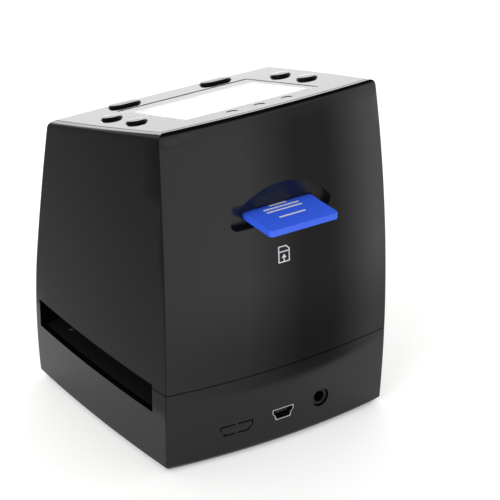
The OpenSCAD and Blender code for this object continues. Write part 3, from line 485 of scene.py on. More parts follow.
FRAME_GREY = Finish("grey_abs_moulded", "#3a3b3e", 0.5, grain_mm=0.4, relief_mm=0.004)

# The nodes that keep their solid's form, each with its finish and how far its edges are eased.
EASED_NODES: dict[str, tuple[Finish, float]] = {
    "display_frame": (FRAME_GREY, 0.2),
    "key_board": (BOARD, 0.1),
    "key_switches": (TINNED_STEEL, 0.15),
    "status_leds": (STATUS_RESIN, 0.12),
    "main_board": (BOARD, 0.1),
    "card_socket": (TINNED_STEEL, 0.1),
    "film_guide_upper": (MATT_ABS, 0.15),
    "film_guide_lower": (MATT_ABS, 0.15),
    "camera_hood": (MATT_ABS, 0.2),
    "lens_barrel": (LENS_BLACK, 0.15),
    "lens_elements": (LENS_GLASS, 0.0),
    "sensor_board": (BOARD, 0.1),
    "image_sensor": (SENSOR_FACE, 0.1),
    "diffuser": (OPAL, 0.15),
    "light_box": (WHITE_ABS, 0.2),
    "backlight_board": (LAMP_PLATE, 0.12),
    "backlight_leds": (LAMP_RESIN, 0.15),
    "port_board": (BOARD, 0.1),
    "usb_socket": (NICKEL, 0.07),
    "usb_tongue": (CHIP_RESIN, 0.1),
    "av_jack": (NYLON, 0.15),
    "display_cable": (AMBER_FLEX, 0.03),
    "port_cable": (WHITE_FLEX, 0.03),
    "sensor_cable": (AMBER_FLEX, 0.03),
    "rubber_feet": (RUBBER, 0.3),
    "indicator_lights": (SMOKED_CLEAR, 0.1),
    "card_contacts": (GOLD, 0.03),
}


# ---------------------------------------------------------------- mesh tools


@contextmanager
def edited(mesh: Mesh) -> Iterator[BMesh]:
    """Opens a mesh for editing and writes it back at the end."""
    bm = bmesh.new()
    bm.from_mesh(mesh)
    yield bm
    bm.to_mesh(mesh)
    bm.free()


def mesh_from_rings(name: str, rings: Sequence[Sequence[Vector]], closed_ends: bool = True) -> Mesh:
    """Skins a row of closed rings of equal length, given in millimetres.

    Args:
        name: The mesh's name.
        rings: The rings, from one end to the other.
        closed_ends: Whether the first and last ring are closed with a face.

    Returns:
        The mesh, in metres, with its faces pointing outwards.
    """
    mesh = bpy.data.meshes.new(name)
    with edited(mesh) as bm:
        rows = [[bm.verts.new(p * MM) for p in ring] for ring in rings]
        for low, high in zip(rows, rows[1:]):
            add_band(bm, low, high)
        if closed_ends:
            bm.faces.new(rows[0][::-1])
            bm.faces.new(rows[-1])
        bmesh.ops.recalc_face_normals(bm, faces=bm.faces)
    return mesh


def add_band(bm: BMesh, low: list[BMVert], high: list[BMVert]) -> None:
    """Joins two closed rings of vertices with a band of four-sided faces."""
    for i in range(len(low)):
        j = (i + 1) % len(low)
        bm.faces.new((low[i], low[j], high[j], high[i]))


def merged_copy(node: str) -> Mesh:
    """Copies a CAD node's mesh with its loose triangles joined.

    Args:
        node: The node's name.

    Returns:
        The closed mesh.
    """
    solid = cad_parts[node].data
    mesh = bpy.data.meshes.new(node + "_copy")
    mesh.from_pydata([v.co for v in solid.vertices], [], [list(p.vertices) for p in solid.polygons])
    with edited(mesh) as bm:
        bmesh.ops.remove_doubles(bm, verts=bm.verts, dist=SAME_CORNER)
    return mesh


def printed_mesh(
    name: str,
    shapes: Iterable[Sequence[Pair]],
    place: Callable[[float, float, float], Vector],
    ink: float = 0.02,
) -> Mesh:
    """Makes thin printed shapes on a face.

    Args:
        name: The mesh's name.
        shapes: The outlines, in millimetres on the face.
        place: Turns a place on the face and a height above it into a point.
        ink: The print's thickness in millimetres.

    Returns:
        The print's mesh.
    """
    mesh = bpy.data.meshes.new(name)
    with edited(mesh) as bm:
        for shape in shapes:
            low = [bm.verts.new(place(x, y, -ink) * MM) for x, y in shape]
            high = [bm.verts.new(place(x, y, ink) * MM) for x, y in shape]
            bm.faces.new(low[::-1])
            bm.faces.new(high)
            add_band(bm, low, high)
        bmesh.ops.recalc_face_normals(bm, faces=bm.faces)
    return mesh


def baked_mesh(piece: Object, name: str) -> Mesh:
    """Applies an object's modifiers, removes the object and returns the plain mesh.

    Args:
        piece: The object with its modifiers.
        name: The name of the new mesh.

    Returns:
        The evaluated mesh.
    """
    bpy.context.view_layer.update()
    seen = piece.evaluated_get(bpy.context.evaluated_depsgraph_get())
    mesh = bpy.data.meshes.new_from_object(seen)
    mesh.name = name
    bpy.data.objects.remove(piece)
    return mesh


def working_object(name: str, data: Mesh | bpy.types.Light | bpy.types.Camera) -> Object:
    """Links a mesh, a light or a camera to the scene as a new object."""
    made = bpy.data.objects.new(name, data)
    bpy.context.scene.collection.objects.link(made)
    return made


def cut_with(piece: Object, tool: Object, operation: str) -> None:
    """Lets one object cut or trim another, which isn't baked yet."""
    cut = piece.modifiers.new(tool.name, "BOOLEAN")
    cut.operation = operation
    cut.solver = "EXACT"
    cut.object = tool


def finished_object(
    name: str, mesh: Mesh, finish: Finish, crease: float = 35.0, even: bool = True
) -> Object:
    """Makes a shaded object with one finish from a mesh that is already in place.

    Args:
        name: The piece's name.
        mesh: The piece's mesh.
        finish: Its finish.
        crease: The angle in degrees above which an edge stays sharp.
        even: Whether flat faces keep an even shade, so that only the rounded edges turn.

    Returns:
        The new object, linked to the scene.
    """
    mesh.materials.clear()
    mesh.materials.append(finish.make())
    mesh.shade_smooth()
    mesh.set_sharp_from_angle(angle=math.radians(crease))
    made = working_object(name, mesh)
    if even:
        shade = made.modifiers.new("even_shade", "WEIGHTED_NORMAL")
        shade.keep_sharp = True
        made = working_object(name, baked_mesh(made, name))
    return made


def soften(mesh: Mesh, width_mm: float, picks: Callable[[BMEdge], bool] | None = None) -> Mesh:
    """Rounds a solid's sharp edges.

    Args:
        mesh: The closed mesh, which is changed.
        width_mm: The rounding's width.
        picks: Tells which sharp edges are rounded; all of them without it.

    Returns:
        The same mesh.
    """
    with edited(mesh) as bm:
        bmesh.ops.dissolve_limit(
            bm, angle_limit=math.radians(FLAT_ANGLE), verts=bm.verts, edges=bm.edges
        )
        sharp = [
            e
            for e in bm.edges
            if len(e.link_faces) == 2
            and e.calc_face_angle(0) > math.radians(SHARP_ANGLE)
            and (picks is None or picks(e))
        ]
        bmesh.ops.bevel(
            bm,
            geom=sharp,
            offset=width_mm * MM,
            segments=2,
            profile=0.5,
            affect="EDGES",
            clamp_overlap=False,
        )
    return mesh


def dressed(piece: Object, body: str, *nodes: str, like: str = "") -> Object:
    """Lets a piece ride on its body, stand for its nodes, and reports it.

    Args:
        piece: The finished piece.
        body: The CAD body that it moves with.
        nodes: The CAD nodes that it stands for.
        like: Not used.

    Returns:
        The same piece.
    """
    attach(piece, body)
    if nodes:
        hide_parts(*nodes)
    log.info("%s rides on %s, stands for %s", piece.name, body, ", ".join(nodes) or "no node")
    return piece


# ---------------------------------------------------------------- the body's form


@dataclass
class BodyForm:
    """The body's outer form: four double-curved faces under a sloped top. Sizes in mm."""

    # The eased bevel along the bottom edge, as insets and heights: at its foot, counted from the
    # bevel's width and the bottom, and at its head, counted from the faces and the bevel's end.
    FOOT_LEVELS: ClassVar = ((0.45, 0.0), (0.22, 0.03), (0.02, 0.12), (-0.05, 0.19))
    HEAD_LEVELS: ClassVar = ((0.2, -0.06), (0.1, 0.04), (0.03, 0.24))
    # The lengths that the bending tree takes as they are
    BENT_BY: ClassVar = (
        "half_w", "back", "front", "side_plan_r", "side_rise_r", "side_apex_h", "back_plan_r",
        "back_rise_r", "back_apex_h", "front_plan_r", "front_rise_r", "front_apex_h", "bend_start",
    )

    half_w: float = 42.4
    back: float = 41.2
    front: float = 39.3
    top_h: float = 100.4
    top_tilt: float = 16.5
    bottom_h: float = 0.5
    side_plan_r: float = 540.0
    side_rise_r: float = 1100.0
    side_apex_h: float = 32.3
    side_draft: float = 1.73
    back_plan_r: float = 230.0
    back_rise_r: float = 466.0
    back_apex_h: float = 30.8
    front_plan_r: float = 573.0
    front_rise_r: float = 160.0
    front_apex_h: float = 20.8
    front_lean: float = 8.9
    skin: float = 0.05
    rim_drop: float = 0.12
    corner_r: float = 0.45
    side_top_r: float = 2.3
    front_top_r: float = 2.4
    back_top_r: float = 1.5
    bottom_bevel: float = 1.5
    bevel_ease: float = 0.5
    bend_start: float = 30.0
    side_pivot_in: float = 1.4
    corner_shrink: float = 0.4
    least_corner_r: float = 0.2
    level_steps: int = 56
    side_steps: int = 44
    round_steps: int = 8

    def on_panel(self, x: float, v: float, w: float = 0.0) -> Vector:
        """Gives a point by its place across, up the slope and out of the sloped top."""
        s, c = math.sin(math.radians(self.top_tilt)), math.cos(math.radians(self.top_tilt))
        return Vector((x, v * c - w * s, self.top_h + v * s + w * c))

    def outward(self) -> Vector:
        """Gives the direction out of the sloped top."""
        tilt = math.radians(self.top_tilt)
        return Vector((0, -math.sin(tilt), math.cos(tilt)))

    def above_panel(self, point: Vector) -> float:
        """Gives how far a point in metres lies out of the panel's face."""
        out = self.outward()
        return point.dot(out) / MM - self.on_panel(0, 0).dot(out)

    def back_face(self, x: float, z: float) -> float:
        """Gives the back face's distance along Y at a place across and a height."""
        dip = self.back_plan_r - math.sqrt(self.back_plan_r**2 - x**2)
        reach = math.sqrt((self.back_rise_r - dip) ** 2 - (z - self.back_apex_h) ** 2)
        return self.back - self.back_rise_r + reach

    def ring(self, side: Pair, front: Pair, back: Pair) -> list[Vector]:
        """Draws one level of the unbent body, a rectangle with rounded corners.

        Args:
            side: How far the side faces are moved inwards, and their height.
            front: The same of the front face.
            back: The same of the back face.

        Returns:
            The points in turn, the same number for every level.
        """
        w = self.half_w / math.cos(math.radians(self.side_draft)) - self.skin - side[0]
        to_back = self.back - self.skin - back[0]
        to_front = self.front - self.skin - front[0]
        shrink = self.corner_shrink * max(side[0], front[0], back[0])
        r = max(self.corner_r - shrink, self.least_corner_r)
        arcs = []
        for x, y, start, end in (
            (w - r, to_back - r, 0, back),
            (r - w, to_back - r, 90, back),
            (r - w, r - to_front, 180, front),
            (w - r, r - to_front, 270, front),
        ):
            arcs.append([])
            for k in range(self.round_steps + 1):
                turn = math.radians(start + 90 * k / self.round_steps)
                z = side[1] + (end[1] - side[1]) * math.sin(turn) ** 2
                arcs[-1].append(Vector((x + r * math.cos(turn), y + r * math.sin(turn), z)))
        points: list[Vector] = []
        for arc, following in zip(arcs, arcs[1:] + arcs[:1]):
            points += arc
            shares = (k / self.side_steps for k in range(1, self.side_steps))
            points += [arc[-1].lerp(following[0], share) for share in shares]
        return points

    def levels(self, top_r: float) -> list[Pair]:
        """Lists one face's inset and height, from the bevelled bottom to the rounded top.

        Args:
            top_r: The radius between this face and the top.

        Returns:
            The same number of levels for every radius.
        """
        bevel, foot = self.bottom_bevel, self.bottom_h
        rows = [(bevel + inset, foot + up) for inset, up in self.FOOT_LEVELS]
        rows += [(inset, foot + bevel + up) for inset, up in self.HEAD_LEVELS]
        low, high = foot + bevel + self.bevel_ease, self.top_h - self.rim_drop - top_r
        rows += [(0.0, low + (high - low) * k / self.level_steps) for k in range(self.level_steps)]
        for k in range(self.round_steps + 1):
            turn = math.radians(90 * k / self.round_steps)
            rows.append((top_r * (1 - math.cos(turn)), high + top_r * math.sin(turn)))
        return rows

    def blank(self) -> Mesh:
        """Makes the unbent body: upright faces, bevelled below and rounded above."""
        faces = zip(*(self.levels(r) for r in (self.side_top_r, self.front_top_r, self.back_top_r)))
        mesh = mesh_from_rings("body_blank", [self.ring(*level) for level in faces])
        mesh.shade_smooth()
        return mesh

    def bending_tree(self) -> NodeTree:
        """Builds the tree that bends the blank to the body's four curved faces.

        Returns:
            The geometry tree, whose inputs are the form's sizes in metres.
        """
        tree = geometry_tree("body_bending", dict.fromkeys(self.bending_sizes(), "Float"))
        size = add_node(tree, "NodeGroupInput").outputs
        minus, times, plus, ratio, larger, smaller, root = (
            partial(calc, tree, name)
            for name in ("SUBTRACT", "MULTIPLY", "ADD", "DIVIDE", "MAXIMUM", "MINIMUM", "SQRT")
        )

        def bow(dip: float | NodeSocket, across: NodeSocket, radius: NodeSocket) -> NodeSocket:
            """Gives how far a ring of this radius falls back at a place across it."""
            reach = minus(radius, dip)
            return minus(radius, root(minus(times(reach, reach), times(across, across))))

        place = add_node(tree, "GeometryNodeInputPosition").outputs[0]
        x, y, z = add_node(tree, "ShaderNodeSeparateXYZ", links={"Vector": place}).outputs
        start = size["bend_start"]
        share = ratio(minus(z, start), minus(size["rim_h"], start))
        rise = times(larger(share, 0.0), size["top_slope"])

        def sloped(depth: NodeSocket) -> NodeSocket:
            """Gives the height of a point once the top slopes."""
            return plus(z, times(rise, depth))

        def depthwise(wide: NodeSocket, high: NodeSocket) -> NodeSocket:
            """Gives a point's place along Y on the curved front and back faces."""
            fallen = bow(0.0, wide, size["back_plan_r"])
            back_dip = bow(fallen, minus(high, size["back_apex_h"]), size["back_rise_r"])
            low = minus(smaller(high, size["lean_start"]), size["front_apex_h"])
            lean = times(larger(minus(high, size["lean_start"]), 0.0), size["front_slope"])
            fallen = plus(bow(0.0, low, size["front_rise_r"]), lean)
            front_dip = bow(fallen, wide, size["front_plan_r"])
            to_back = ratio(larger(y, 0.0), size["back"])
            to_front = ratio(smaller(y, 0.0), size["front"])
            return minus(minus(y, times(to_back, back_dip)), times(to_front, front_dip))

        y1 = depthwise(x, sloped(y))
        z1 = sloped(y1)
        fallen = bow(0.0, minus(y1, size["side_pivot"]), size["side_plan_r"])
        side_dip = bow(fallen, minus(z1, size["side_apex_h"]), size["side_rise_r"])
        narrowed = plus(side_dip, times(y1, size["side_slope"]))
        x1 = minus(x, times(ratio(x, size["half_w"]), narrowed))
        y2 = depthwise(x1, z1)
        bent = add_node(tree, "ShaderNodeCombineXYZ", links={"X": x1, "Y": y2, "Z": sloped(y2)})
        links = {"Geometry": size["Geometry"], "Position": bent.outputs[0]}
        placed = add_node(tree, "GeometryNodeSetPosition", links=links)
        end_tree(tree, placed.outputs[0], GLOSS_ABS.make())
        return tree

    def bending_sizes(self) -> dict[str, float]:
        """Returns the bending tree's inputs: lengths in metres and slopes."""
        draft, lean = math.radians(self.side_draft), math.radians(self.front_lean)
        lengths = {name: getattr(self, name) for name in self.BENT_BY} | {
            "side_pivot": (self.half_w - self.side_pivot_in) * math.sin(draft),
            "lean_start": self.front_apex_h + self.front_rise_r * math.sin(lean),
            "rim_h": self.top_h - self.rim_drop,
        }
        return {name: size * MM for name, size in lengths.items()} | {
            "side_slope": math.sin(draft),
            "front_slope": math.tan(lean),
            "top_slope": math.tan(math.radians(self.top_tilt)),
        }

    def make(self) -> Object:
        """Bends the blank to the body's form and returns it as a working object."""
        piece = working_object("body_form", self.blank())
        mesh = baked_rule(piece, self.bending_tree(), self.bending_sizes(), even=True)
        return working_object("body_form", mesh)


@dataclass
class Housings:
    """The upper and lower moulded housings, cut from the rounded body form. Sizes in mm."""

    form: BodyForm
    near: float = 0.02
    same_facing: float = 0.9
    least_facing: float = 0.88
    least_blend: float = 0.5
    crease: float = 28.0
    recess_half_w: float = 18.5
    recess_low: float = 75.0
    recess_high: float = 91.0
    recess_y: float = 30.0
    recess_in: float = 0.25

    def cut(self, node: str, form: Object) -> Object:
        """Trims a copy of a housing's solid to the rounded form.

        Args:
            node: The housing's node.
            form: The rounded body form.

        Returns:
            The trimmed housing, whose skin is shaded as the smooth form.
        """
        piece = working_object(node + "_skin", merged_copy(node))
        cut_with(piece, form, "INTERSECT")
        mesh = baked_mesh(piece, node + "_skin")
        made = finished_object("moulded_" + node, mesh, GLOSS_ABS, self.crease, even=False)
        self.shade_as(mesh, form.data)
        mesh.materials.append(SATIN_ABS.make())
        for polygon in mesh.polygons:
            x, y, z = polygon.center / MM
            if abs(x) < self.recess_half_w and self.recess_low < z < self.recess_high:
                if self.recess_y < y < self.form.back_face(x, z) - self.recess_in:
                    polygon.material_index = 1
        return made

    def shade_as(self, mesh: Mesh, smooth: Mesh) -> None:
        """Gives a trimmed skin the normals of the form that it was cut from.

        A cut face that meets the skin keeps its own normal at the corners they share.

        Args:
            mesh: The trimmed mesh, whose normals are set.
            smooth: The form before the cut.
        """
        corners = [Vector(n.vector) for n in smooth.corner_normals]
        tree = BVHTree.FromPolygons(
            [v.co for v in smooth.vertices], [p.vertices for p in smooth.polygons]
        )
        normals = [Vector(n.vector) for n in mesh.corner_normals]
        for polygon in mesh.polygons:
            for loop in polygon.loop_indices:
                at = mesh.vertices[mesh.loops[loop].vertex_index].co
                hit, facing, index, distance = tree.find_nearest(at)
                off_skin = distance > self.near * MM
                if off_skin or facing.dot(polygon.normal) < self.same_facing:
                    if normals[loop].dot(polygon.normal) < self.least_facing:
                        normals[loop] = polygon.normal.copy()
                    continue
                home = smooth.polygons[index]
                weights = poly_3d_calc([smooth.vertices[i].co for i in home.vertices], hit)
                blend = sum((corners[k] * w for k, w in zip(home.loop_indices, weights)), Vector())
                if blend.length > self.least_blend:
                    normals[loop] = blend.normalized()
        mesh.normals_split_custom_set([tuple(n) for n in normals])

    def build(self) -> None:
        """Builds and dresses both housings."""
        form = self.form.make()
        for node in ("upper_housing", "lower_housing"):
            dressed(self.cut(node, form), STATIC_BODY, node)
        mesh = form.data
        bpy.data.objects.remove(form)
        bpy.data.meshes.remove(mesh)


# ---------------------------------------------------------------- panel, keys and display


class KeyShape(Enum):
    """The two shapes of key, each by the run between its end centres in mm."""

    ROUND = 0.0
    OVAL = 4.2


@dataclass
class Key:
    """One domed key with its flange and stem. Sizes in mm."""

    node: str
    shape: KeyShape
    x: float
    v: float
    form: BodyForm
    radius: float = 3.1
    rise: float = 0.95
    side: float = 0.32
    shoulder: float = 0.3
    crown: float = 0.16
    flange: float = 0.5
    flange_t: float = 0.7
    panel_t: float = 2.0
    gap: float = 0.2
    stem_r: float = 1.6
    stem_l: float = 0.5
    stem_ease: float = 0.15
    tip_r: float = 0.03
    steps: int = 24
    shoulder_steps: int = 8
    dome_steps: int = 12
    crease: float = 50.0

    def ring(self, radius: float, w: float) -> list[Vector]:
        """Draws one ring of the key's outline on the panel's slope.

        Args:
            radius: The ends' radius.
            w: The distance out of the panel's face.

        Returns:
            The ring's points.
        """
        half = self.shape.value / 2
        points = []
        for side, start in ((1, -90), (-1, 90)):
            for k in range(self.steps + 1):
                a = math.radians(start + 180 * k / self.steps)
                x = self.x + side * half + radius * math.cos(a)
                points.append(self.form.on_panel(x, self.v + radius * math.sin(a), w))
        if not half:
            del points[self.steps]
            points.pop()
        return points

    def profile(self) -> list[Pair]:
        """Lists the key's radius and height from the stem's end to the dome's top."""
        under = -self.panel_t - self.gap
        low = under - self.flange_t
        rows = [
            (self.stem_r - self.stem_ease, low - self.stem_l),
            (self.stem_r, low - self.stem_l + self.stem_ease),
            (self.stem_r, low),
            (self.radius + self.flange, low),
            (self.radius + self.flange, under),
            (self.radius, under),
        ]
        flat = self.radius - self.shoulder
        ball = (flat**2 + self.crown**2) / (2 * self.crown)
        slope = math.asin(flat / ball)
        drop = self.rise - self.crown - self.side
        for k in range(self.shoulder_steps + 1):
            a = (math.pi / 2 - slope) * k / self.shoulder_steps
            share = math.sin(a) / math.cos(slope)
            inset = (1 - math.cos(a)) / (1 - math.sin(slope))
            rows.append((self.radius - self.shoulder * inset, self.side + drop * share))
        for k in range(1, self.dome_steps + 1):
            a = slope * (1 - k / self.dome_steps)
            rows.append((max(ball * math.sin(a), self.tip_r), self.rise - ball * (1 - math.cos(a))))
        return rows

    def build(self) -> Object:
        """Builds the key, dresses it and lets it ride on its own body."""
        rings = [self.ring(radius, w) for radius, w in self.profile()]
        mesh = mesh_from_rings(self.node, rings)
        piece = finished_object("cap_" + self.node, mesh, POLISHED_KEY, self.crease)
        return dressed(piece, self.node, self.node)


@dataclass
class Panel:
    """The black panel let into the sloped top, with its six keys. Sizes in mm."""

    form: BodyForm
    edge: float = 0.22
    round_x: float = 30.3
    round_front_v: float = -8.0
    round_back_v: float = 7.0
    oval_x: float = 16.5
    oval_v: float = -24.38

    def face(self) -> Object:
        """Builds the panel from its solid, with its upper edges eased."""
        mesh = merged_copy("top_panel")

        def on_face(edge: BMEdge) -> bool:
            """Tells whether an edge lies in the panel's face."""
            return all(abs(self.form.above_panel(v.co)) < IN_PLANE for v in edge.verts)

        soften(mesh, self.edge, on_face)
        piece = finished_object("acrylic_panel", mesh, POLISHED_ACRYLIC)
        return dressed(piece, STATIC_BODY, "top_panel")

    def keys(self) -> Iterator[Key]:
        """Gives the six keys, each named after the node and body that it stands for."""
        sides = (("right", 1), ("left", -1))
        for side, sign in sides:
            name = f"oval_key_{side}"
            yield Key(name, KeyShape.OVAL, sign * self.oval_x, self.oval_v, self.form)
        for side, sign in sides:
            for end, v in (("front", self.round_front_v), ("back", self.round_back_v)):
                name = f"round_key_{side}_{end}"
                yield Key(name, KeyShape.ROUND, sign * self.round_x, v, self.form)

    def build(self) -> None:
        """Builds the panel and its keys."""
        self.face()
        for key in self.keys():
            key.build()


@dataclass
class Display:
    """The sunk pane with the black print on its back, and the lit screen. Sizes in mm.

    An outline is a rectangle on the slope: its width, its size up the slope and its middle.
    """

    form: BodyForm
    pane: Triple = (46.6, 40.5, 3.3)
    pane_t: float = 1.0
    sink: float = 0.16
    edge: float = 0.15
    corner_steps: int = 7
    screen_w: float = 42.6
    screen_d: float = 31.4
    screen_v: float = 6.1
    picture_v: float = 4.9
    border: float = 2.8
    module_t: float = 2.6
    cell_over: float = 0.4
    cell_sink: float = 0.2
    cell_edge: float = 0.1
    bezel_gap: float = 0.3
    bezel_edge: float = 0.12

    def plate(
        self,
        name: str,
        outline: Triple,
        top: float,
        depth: float,
        edge: float,
        opening: Triple | None = None,
    ) -> Mesh:
        """Makes a plate on the slope with eased edges and corners three times as round.

        Args:
            name: The mesh's name.
            outline: Its outline.
            top: Its face, out of the panel's face.
            depth: Its thickness.
            edge: The easing of its edges.
            opening: The outline of an opening that is drawn in its lower face.

        Returns:
            The plate's mesh; its first faces lie round the opening.
        """
        low = top - depth
        levels = ((edge, low), (0.0, low + edge), (0.0, top - edge), (edge, top))
        rings = [self.rounded(outline, level, 3 * edge, inset) for inset, level in levels]
        if opening:
            rings.insert(0, self.rounded(opening, low, edge, 0.0))
        return mesh_from_rings(name, rings)

    def rounded(self, outline: Triple, level: float, corner: float, inset: float) -> list[Vector]:
        """Draws an outline with rounded corners on the slope, moved inwards by an inset."""
        w, d, v = outline
        step = 90 / (self.corner_steps - 1)
        return [
            self.form.on_panel(
                sx * (w / 2 - corner) + (corner - inset) * math.cos(a),
                v + sv * (d / 2 - corner) + (corner - inset) * math.sin(a),
                level,
            )
            for sx, sv, start in ((1, 1, 0), (-1, 1, 90), (-1, -1, 180), (1, -1, 270))
            for a in (math.radians(start + step * k) for k in range(self.corner_steps))
        ]

    def framed(self, name: str, outer: Triple, inner: Triple, top: float) -> Mesh:
        """Makes the module's frame on the slope.

        Args:
            name: The mesh's name.
            outer: Its outer outline.
            inner: The outline of its opening.
            top: Its face, out of the panel's face.

        Returns:
            The closed frame's mesh.
        """
        low = top - self.module_t
        levels = ((outer, low), (outer, top), (inner, top), (inner, low), (outer, low))
        rings = [
            [
                self.form.on_panel(sx * w / 2, v + sv * d / 2, level)
                for sx, sv in ((1, 1), (-1, 1), (-1, -1), (1, -1))
            ]
            for (w, d, v), level in levels
        ]
        mesh = mesh_from_rings(name, rings, closed_ends=False)
        with edited(mesh) as bm:
            bmesh.ops.remove_doubles(bm, verts=bm.verts, dist=SAME_CORNER)
            bmesh.ops.recalc_face_normals(bm, faces=bm.faces)
        return mesh

    def about_screen(self, extra: float, v: float) -> Triple:
        """Gives the screen's outline made larger on every side, at a middle of its own."""
        return self.screen_w + 2 * extra, self.screen_d + 2 * extra, v

    def build(self) -> None:
        """Builds the pane, its print, the screen and the screen's metal frame."""
        opening = self.about_screen(0.0, self.picture_v)
        pane = self.plate("pane", self.pane, -self.sink, self.pane_t, self.edge, opening)
        piece = finished_object("clear_pane", pane, CLEAR_ACRYLIC)
        piece.data.materials.append(PANE_PRINT.make())
        for polygon in piece.data.polygons[: 4 * self.corner_steps]:
            polygon.material_index = 1
        dressed(piece, STATIC_BODY, "display_window")
        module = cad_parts["display_module"].data
        top = max(self.form.above_panel(v.co) for v in module.vertices)
        outline = self.about_screen(self.cell_over, self.picture_v)
        depth = self.module_t - 2 * self.cell_sink
        cell = self.plate("screen_cell", outline, top - self.cell_sink, depth, self.cell_edge)
        dressed(finished_object("screen_cell", cell, LIT_SCREEN), STATIC_BODY, "display_module")
        outer = self.about_screen(self.border, self.screen_v)
        inner = self.about_screen(self.bezel_gap, self.picture_v)
        rim = soften(self.framed("screen_bezel", outer, inner, top), self.bezel_edge)
        bezel = finished_object("screen_bezel", rim, TINNED_STEEL)
        dressed(bezel, STATIC_BODY, "display_module")


# ---------------------------------------------------------------- card


@dataclass
class Card:
    """The memory card, pushed into its slot. Sizes in mm."""

    edge: float = 0.2
    width: float = 24.0
    mid_h: float = 78.8
    thick: float = 2.1
    outer_end: float = 50.6
    rim_in: float = 5.2
    rim_outer: float = 1.5
    rim_inner: float = 31.5
    bar_t: float = 0.75
    bars: tuple[Pair, ...] = ((4.6, 43.6), (6.2, 39.4), (6.2, 37.6), (3.0, 35.8))
    arrow: tuple[Pair, ...] = ((-1.5, 33.4), (1.5, 33.4), (0.0, 31.4))

    def build(self) -> None:
        """Builds the card from its solid, with eased edges, and its printed marks."""
        mesh = merged_copy("memory_card")
        top, bottom = self.mid_h + self.thick / 2, self.mid_h - self.thick / 2

        def on_rim(edge: BMEdge) -> bool:
            """Tells whether an edge lies round the card's two faces."""
            corners = [v.co / MM for v in edge.verts]
            outline = all(
                abs(at.x) > self.width / 2 - self.rim_in
                or at.y > self.outer_end - self.rim_outer
                or at.y < self.outer_end - self.rim_inner
                for at in corners
            )
            return outline and any(
                all(abs(at.z - level) < IN_PLANE for at in corners) for level in (top, bottom)
            )

        soften(mesh, self.edge, on_rim)
        dressed(finished_object("card_moulding", mesh, CARD_BLUE), CARD_BODY, "memory_card")
        bars = [[(-x, y), (x, y), (x, y + self.bar_t), (-x, y + self.bar_t)] for x, y in self.bars]

        def on_face(x: float, y: float, lift: float) -> Vector:
            """Places a point of the print on the card's face."""
            return Vector((x, y, top + lift))

        mesh = printed_mesh("card_marks", [*bars, self.arrow], on_face)
        marks = finished_object("card_marks", mesh, WHITE_INK)
        dressed(marks, CARD_BODY, like="memory_card")


@dataclass
class SlotSign:
    """The plain sign of a card and an arrow, printed under the slot. Sizes in mm."""

    form: BodyForm
    line: float = 0.36
    half_w: float = 1.85
    low: float = 62.4
    high: float = 67.4
    cut: float = 1.1
    bar_h: float = 65.7
    tip_h: float = 64.9
    arrow_half: float = 0.85
    arrow_up: float = 1.3
    tail: Pair = (0.2, 1.4)

    def stroke(self, start: Pair, end: Pair) -> list[Pair]:
        """Draws one printed line as a thin four-sided shape."""
        (x0, z0), (x1, z1) = start, end
        run = math.hypot(x1 - x0, z1 - z0)
        u, w = (x1 - x0) / run * self.line / 2, (z1 - z0) / run * self.line / 2
        return [
            (x0 - u - w, z0 - w + u),
            (x0 - u + w, z0 - w - u),
            (x1 + u + w, z1 + w - u),
            (x1 + u - w, z1 + w + u),
        ]

    def build(self) -> None:
        """Builds the sign on the back face."""
        w, low, high = self.half_w, self.low, self.high
        corners = [(w, low), (w, high), (-w + self.cut, high), (-w, high - self.cut), (-w, low)]
        shapes = [self.stroke(a, b) for a, b in zip(corners, corners[1:] + corners[:1])]
        shapes.append(self.stroke((w, self.bar_h), (-w, self.bar_h)))
        side, base = self.arrow_half, low + self.arrow_up
        shapes.append([(-side, base), (side, base), (0.0, self.tip_h)])
        shapes.append(self.stroke((0.0, low + self.tail[0]), (0.0, low + self.tail[1])))

        def on_back(x: float, z: float, lift: float) -> Vector:
            """Places a point of the print on the back face."""
            return Vector((x, self.form.back_face(x, z) - self.form.skin + lift, z))

        mesh = printed_mesh("slot_sign", shapes, on_back)
        sign = finished_object("slot_sign", mesh, WHITE_INK)
        dressed(sign, STATIC_BODY, like="upper_housing")


# ---------------------------------------------------------------- inner parts


def build_eased_nodes(form: BodyForm) -> None:
    """Builds every piece that keeps its solid's form, with eased edges and its finish.

    Args:
        form: The body's form, which gives the slope that the lights are sunk along.
    """
    for node, (finish, width) in EASED_NODES.items():
        mesh = merged_copy(node)
        if width:
            soften(mesh, width)
        if node == "indicator_lights":
            mesh.transform(Matrix.Translation(form.outward() * -LIGHT_SINK * MM))
        body = CARD_BODY if node == "card_contacts" else STATIC_BODY
        dressed(finished_object("eased_" + node, mesh, finish), body, node)


def islands(node: str) -> list[list[Vector]]:
    """Lists the corners of each separate solid in a node.

    Args:
        node: The node's name.

    Returns:
        The solids' corners in metres, in the order of their first corner.
    """
    bm = bmesh.new()
    bm.from_mesh(merged_copy(node))
    seen: set[BMVert] = set()
    found = []
    for first in bm.verts:
        if first in seen:
            continue
        seen.add(first)
        waiting, points = [first], []
        while waiting:
            vert = waiting.pop()
            points.append(vert.co.copy())
            for edge in vert.link_edges:
                other = edge.other_vert(vert)
                if other not in seen:
                    seen.add(other)
                    waiting.append(other)
        found.append(points)
    bm.free()
    return found


